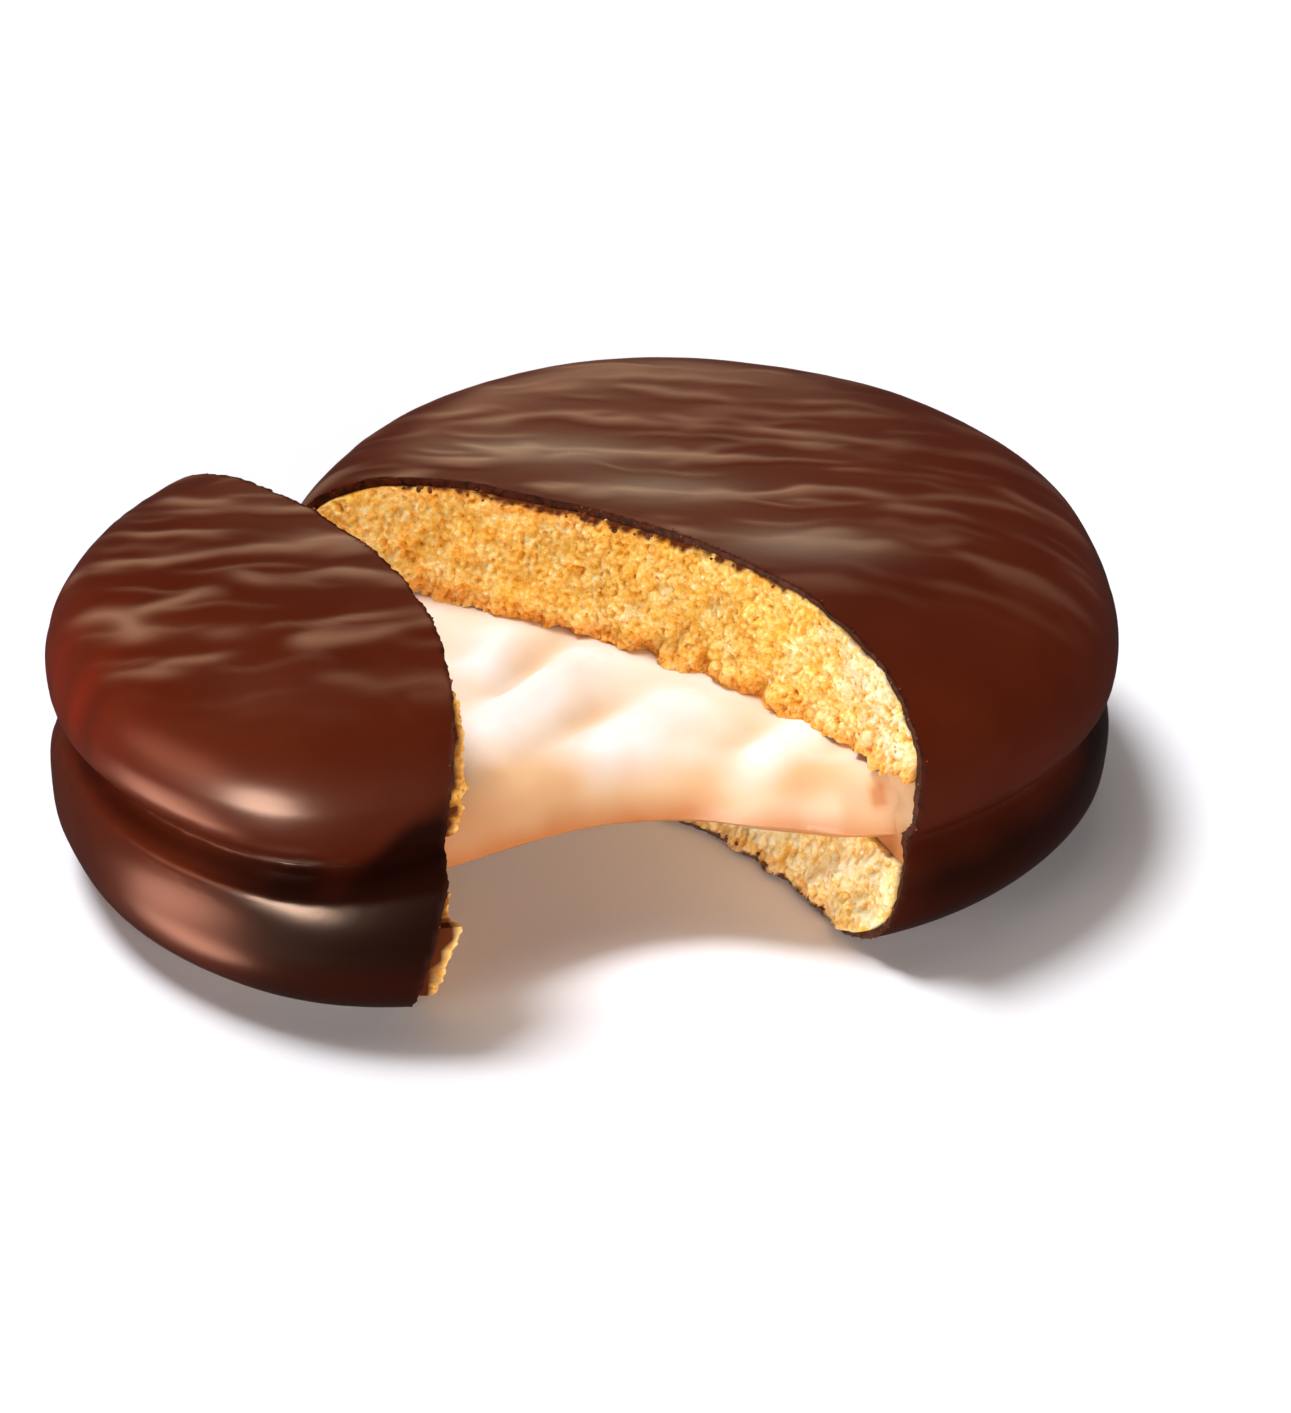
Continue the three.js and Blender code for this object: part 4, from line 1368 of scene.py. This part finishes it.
class PIE_OT_studio(bpy.types.Operator):
    """Lays the white floor, hangs the lights and sets the camera"""

    bl_idname = "pie.studio"
    bl_label = "Studio"

    def execute(self, context):
        scene = context.scene
        self.floor(scene)
        self.lights(scene)
        self.camera(scene)
        scene.view_settings.view_transform = "Standard"
        scene.view_settings.look = "None"
        return {"FINISHED"}

    def floor(self, scene):
        mesh = bpy.data.meshes.new("floor")
        half = 1.5  # in metres
        corners = [(-half, -half, 0), (half, -half, 0), (half, half, 0), (-half, half, 0)]
        mesh.from_pydata(corners, [], [(0, 1, 2, 3)])
        mesh.materials.append(white_card(scene.pie_looks))
        card = bpy.data.objects.new("floor", mesh)
        scene.collection.objects.link(card)
        card.visible_glossy = False  # the lights alone make the gloss, so the walls stay as deep as they are
        card.visible_shadow = False  # some of those lights stand partly below the card's level

    def lights(self, scene):
        # Name, azimuth and elevation it comes from, strength, angular size, colour, and whether it lights the matt or
        # the glossy side of a surface. Angles are in degrees.
        suns = (
            ("key from the back left", 142, 64, 2.9, 20, "#fcfdff", "matt"),
            ("soft box overhead", 130, 77, 0.5, 36, "#ffe9de", "matt"),
            ("front fill", -72, 11, 1.95, 42, "#fff2e9", "matt"),
            ("low fill at the left front", -138, 8, 1.25, 24, "#fff2e9", "matt"),
            ("strip low behind", 93, 13, 0.1, 14, "#ffd2aa", "gloss"),
            ("card at the front left", -121, 1, 8.8, 31, "#fff6f0", "gloss"),
            ("card at the left", -158, 16, 1.3, 32, "#ffc4aa", "gloss"),
            ("low card at the left", -171, -40, 1.8, 26, "#ffc4aa", "gloss"),
            ("glow past the far rim", 90, -27, 0.1, 30, "#ffb8a0", "gloss"),
        )
        for name, azimuth, elevation, strength, across, colour, seen in suns:
            lamp = bpy.data.lights.new(name, "SUN")
            lamp.energy = strength
            lamp.angle = math.radians(across)
            lamp.color = linear(colour)[:3]
            made = bpy.data.objects.new(name, lamp)
            a, e = math.radians(azimuth), math.radians(elevation)
            coming = Vector((math.cos(a) * math.cos(e), math.sin(a) * math.cos(e), math.sin(e)))
            made.rotation_euler = coming.to_track_quat("Z", "Y").to_euler()
            made.visible_glossy = seen != "matt"
            made.visible_diffuse = seen != "gloss"
            scene.collection.objects.link(made)
        world = bpy.data.worlds.new("studio")
        world.use_nodes = True
        sky = world.node_tree.nodes["Background"]
        sky.inputs["Color"].default_value = linear("#ffffff")
        sky.inputs["Strength"].default_value = 0.05
        scene.world = world

    def camera(self, scene):
        """Stands the camera where the photograph was taken from: 30 degrees up, and rolled by a hair."""
        sensor, frame_height, focal_length = 36, 1413, 3400  # mm, and pixels of the photograph's frame
        look_down, roll, distance = 30, 1.8, 283.5 * MM
        eye = bpy.data.cameras.new("camera")
        eye.sensor_fit = "VERTICAL"
        eye.sensor_height = sensor
        eye.lens = focal_length * sensor / frame_height
        eye.clip_start = 0.01
        made = bpy.data.objects.new("camera", eye)
        aim = Vector(((MIDDLE[0] - 3.835) * MM, (MIDDLE[1] + 6.659) * MM, 0))
        tilt = math.radians(look_down)
        stand = aim + Vector((0, -math.cos(tilt), math.sin(tilt))) * distance
        turn = Matrix.Rotation(math.radians(90 - look_down), 4, "X") @ Matrix.Rotation(math.radians(roll), 4, "Z")
        made.matrix_world = Matrix.Translation(stand) @ turn
        scene.collection.objects.link(made)
        scene.camera = made


class PIE_PT_panel(bpy.types.Panel):
    """The pie's pieces, sizes and colours"""

    bl_idname = "PIE_PT_panel"
    bl_label = "Torn marshmallow pie"
    bl_space_type = "VIEW_3D"
    bl_region_type = "UI"
    bl_category = "Pie"

    def draw(self, context):
        for kind in OPERATORS:
            self.layout.operator(kind.bl_idname)
        for group in (context.scene.pie_sizes, context.scene.pie_looks):
            for key in group.__annotations__:
                self.layout.prop(group, key)


OPERATORS = (PIE_OT_coats, PIE_OT_cakes, PIE_OT_filling, PIE_OT_crumbs, PIE_OT_studio)
CLASSES = (PieSizes, PieLooks, *OPERATORS, PIE_PT_panel)


def register():
    for kind in CLASSES:
        bpy.utils.register_class(kind)
    bpy.types.Scene.pie_sizes = bpy.props.PointerProperty(type=PieSizes)
    bpy.types.Scene.pie_looks = bpy.props.PointerProperty(type=PieLooks)


def unregister():
    del bpy.types.Scene.pie_looks
    del bpy.types.Scene.pie_sizes
    for kind in reversed(CLASSES):
        bpy.utils.unregister_class(kind)


def main():
    register()
    bpy.ops.pie.coats()
    bpy.ops.pie.cakes()
    bpy.ops.pie.filling()
    bpy.ops.pie.crumbs()
    bpy.ops.pie.studio()


if __name__ == "__main__":
    main()
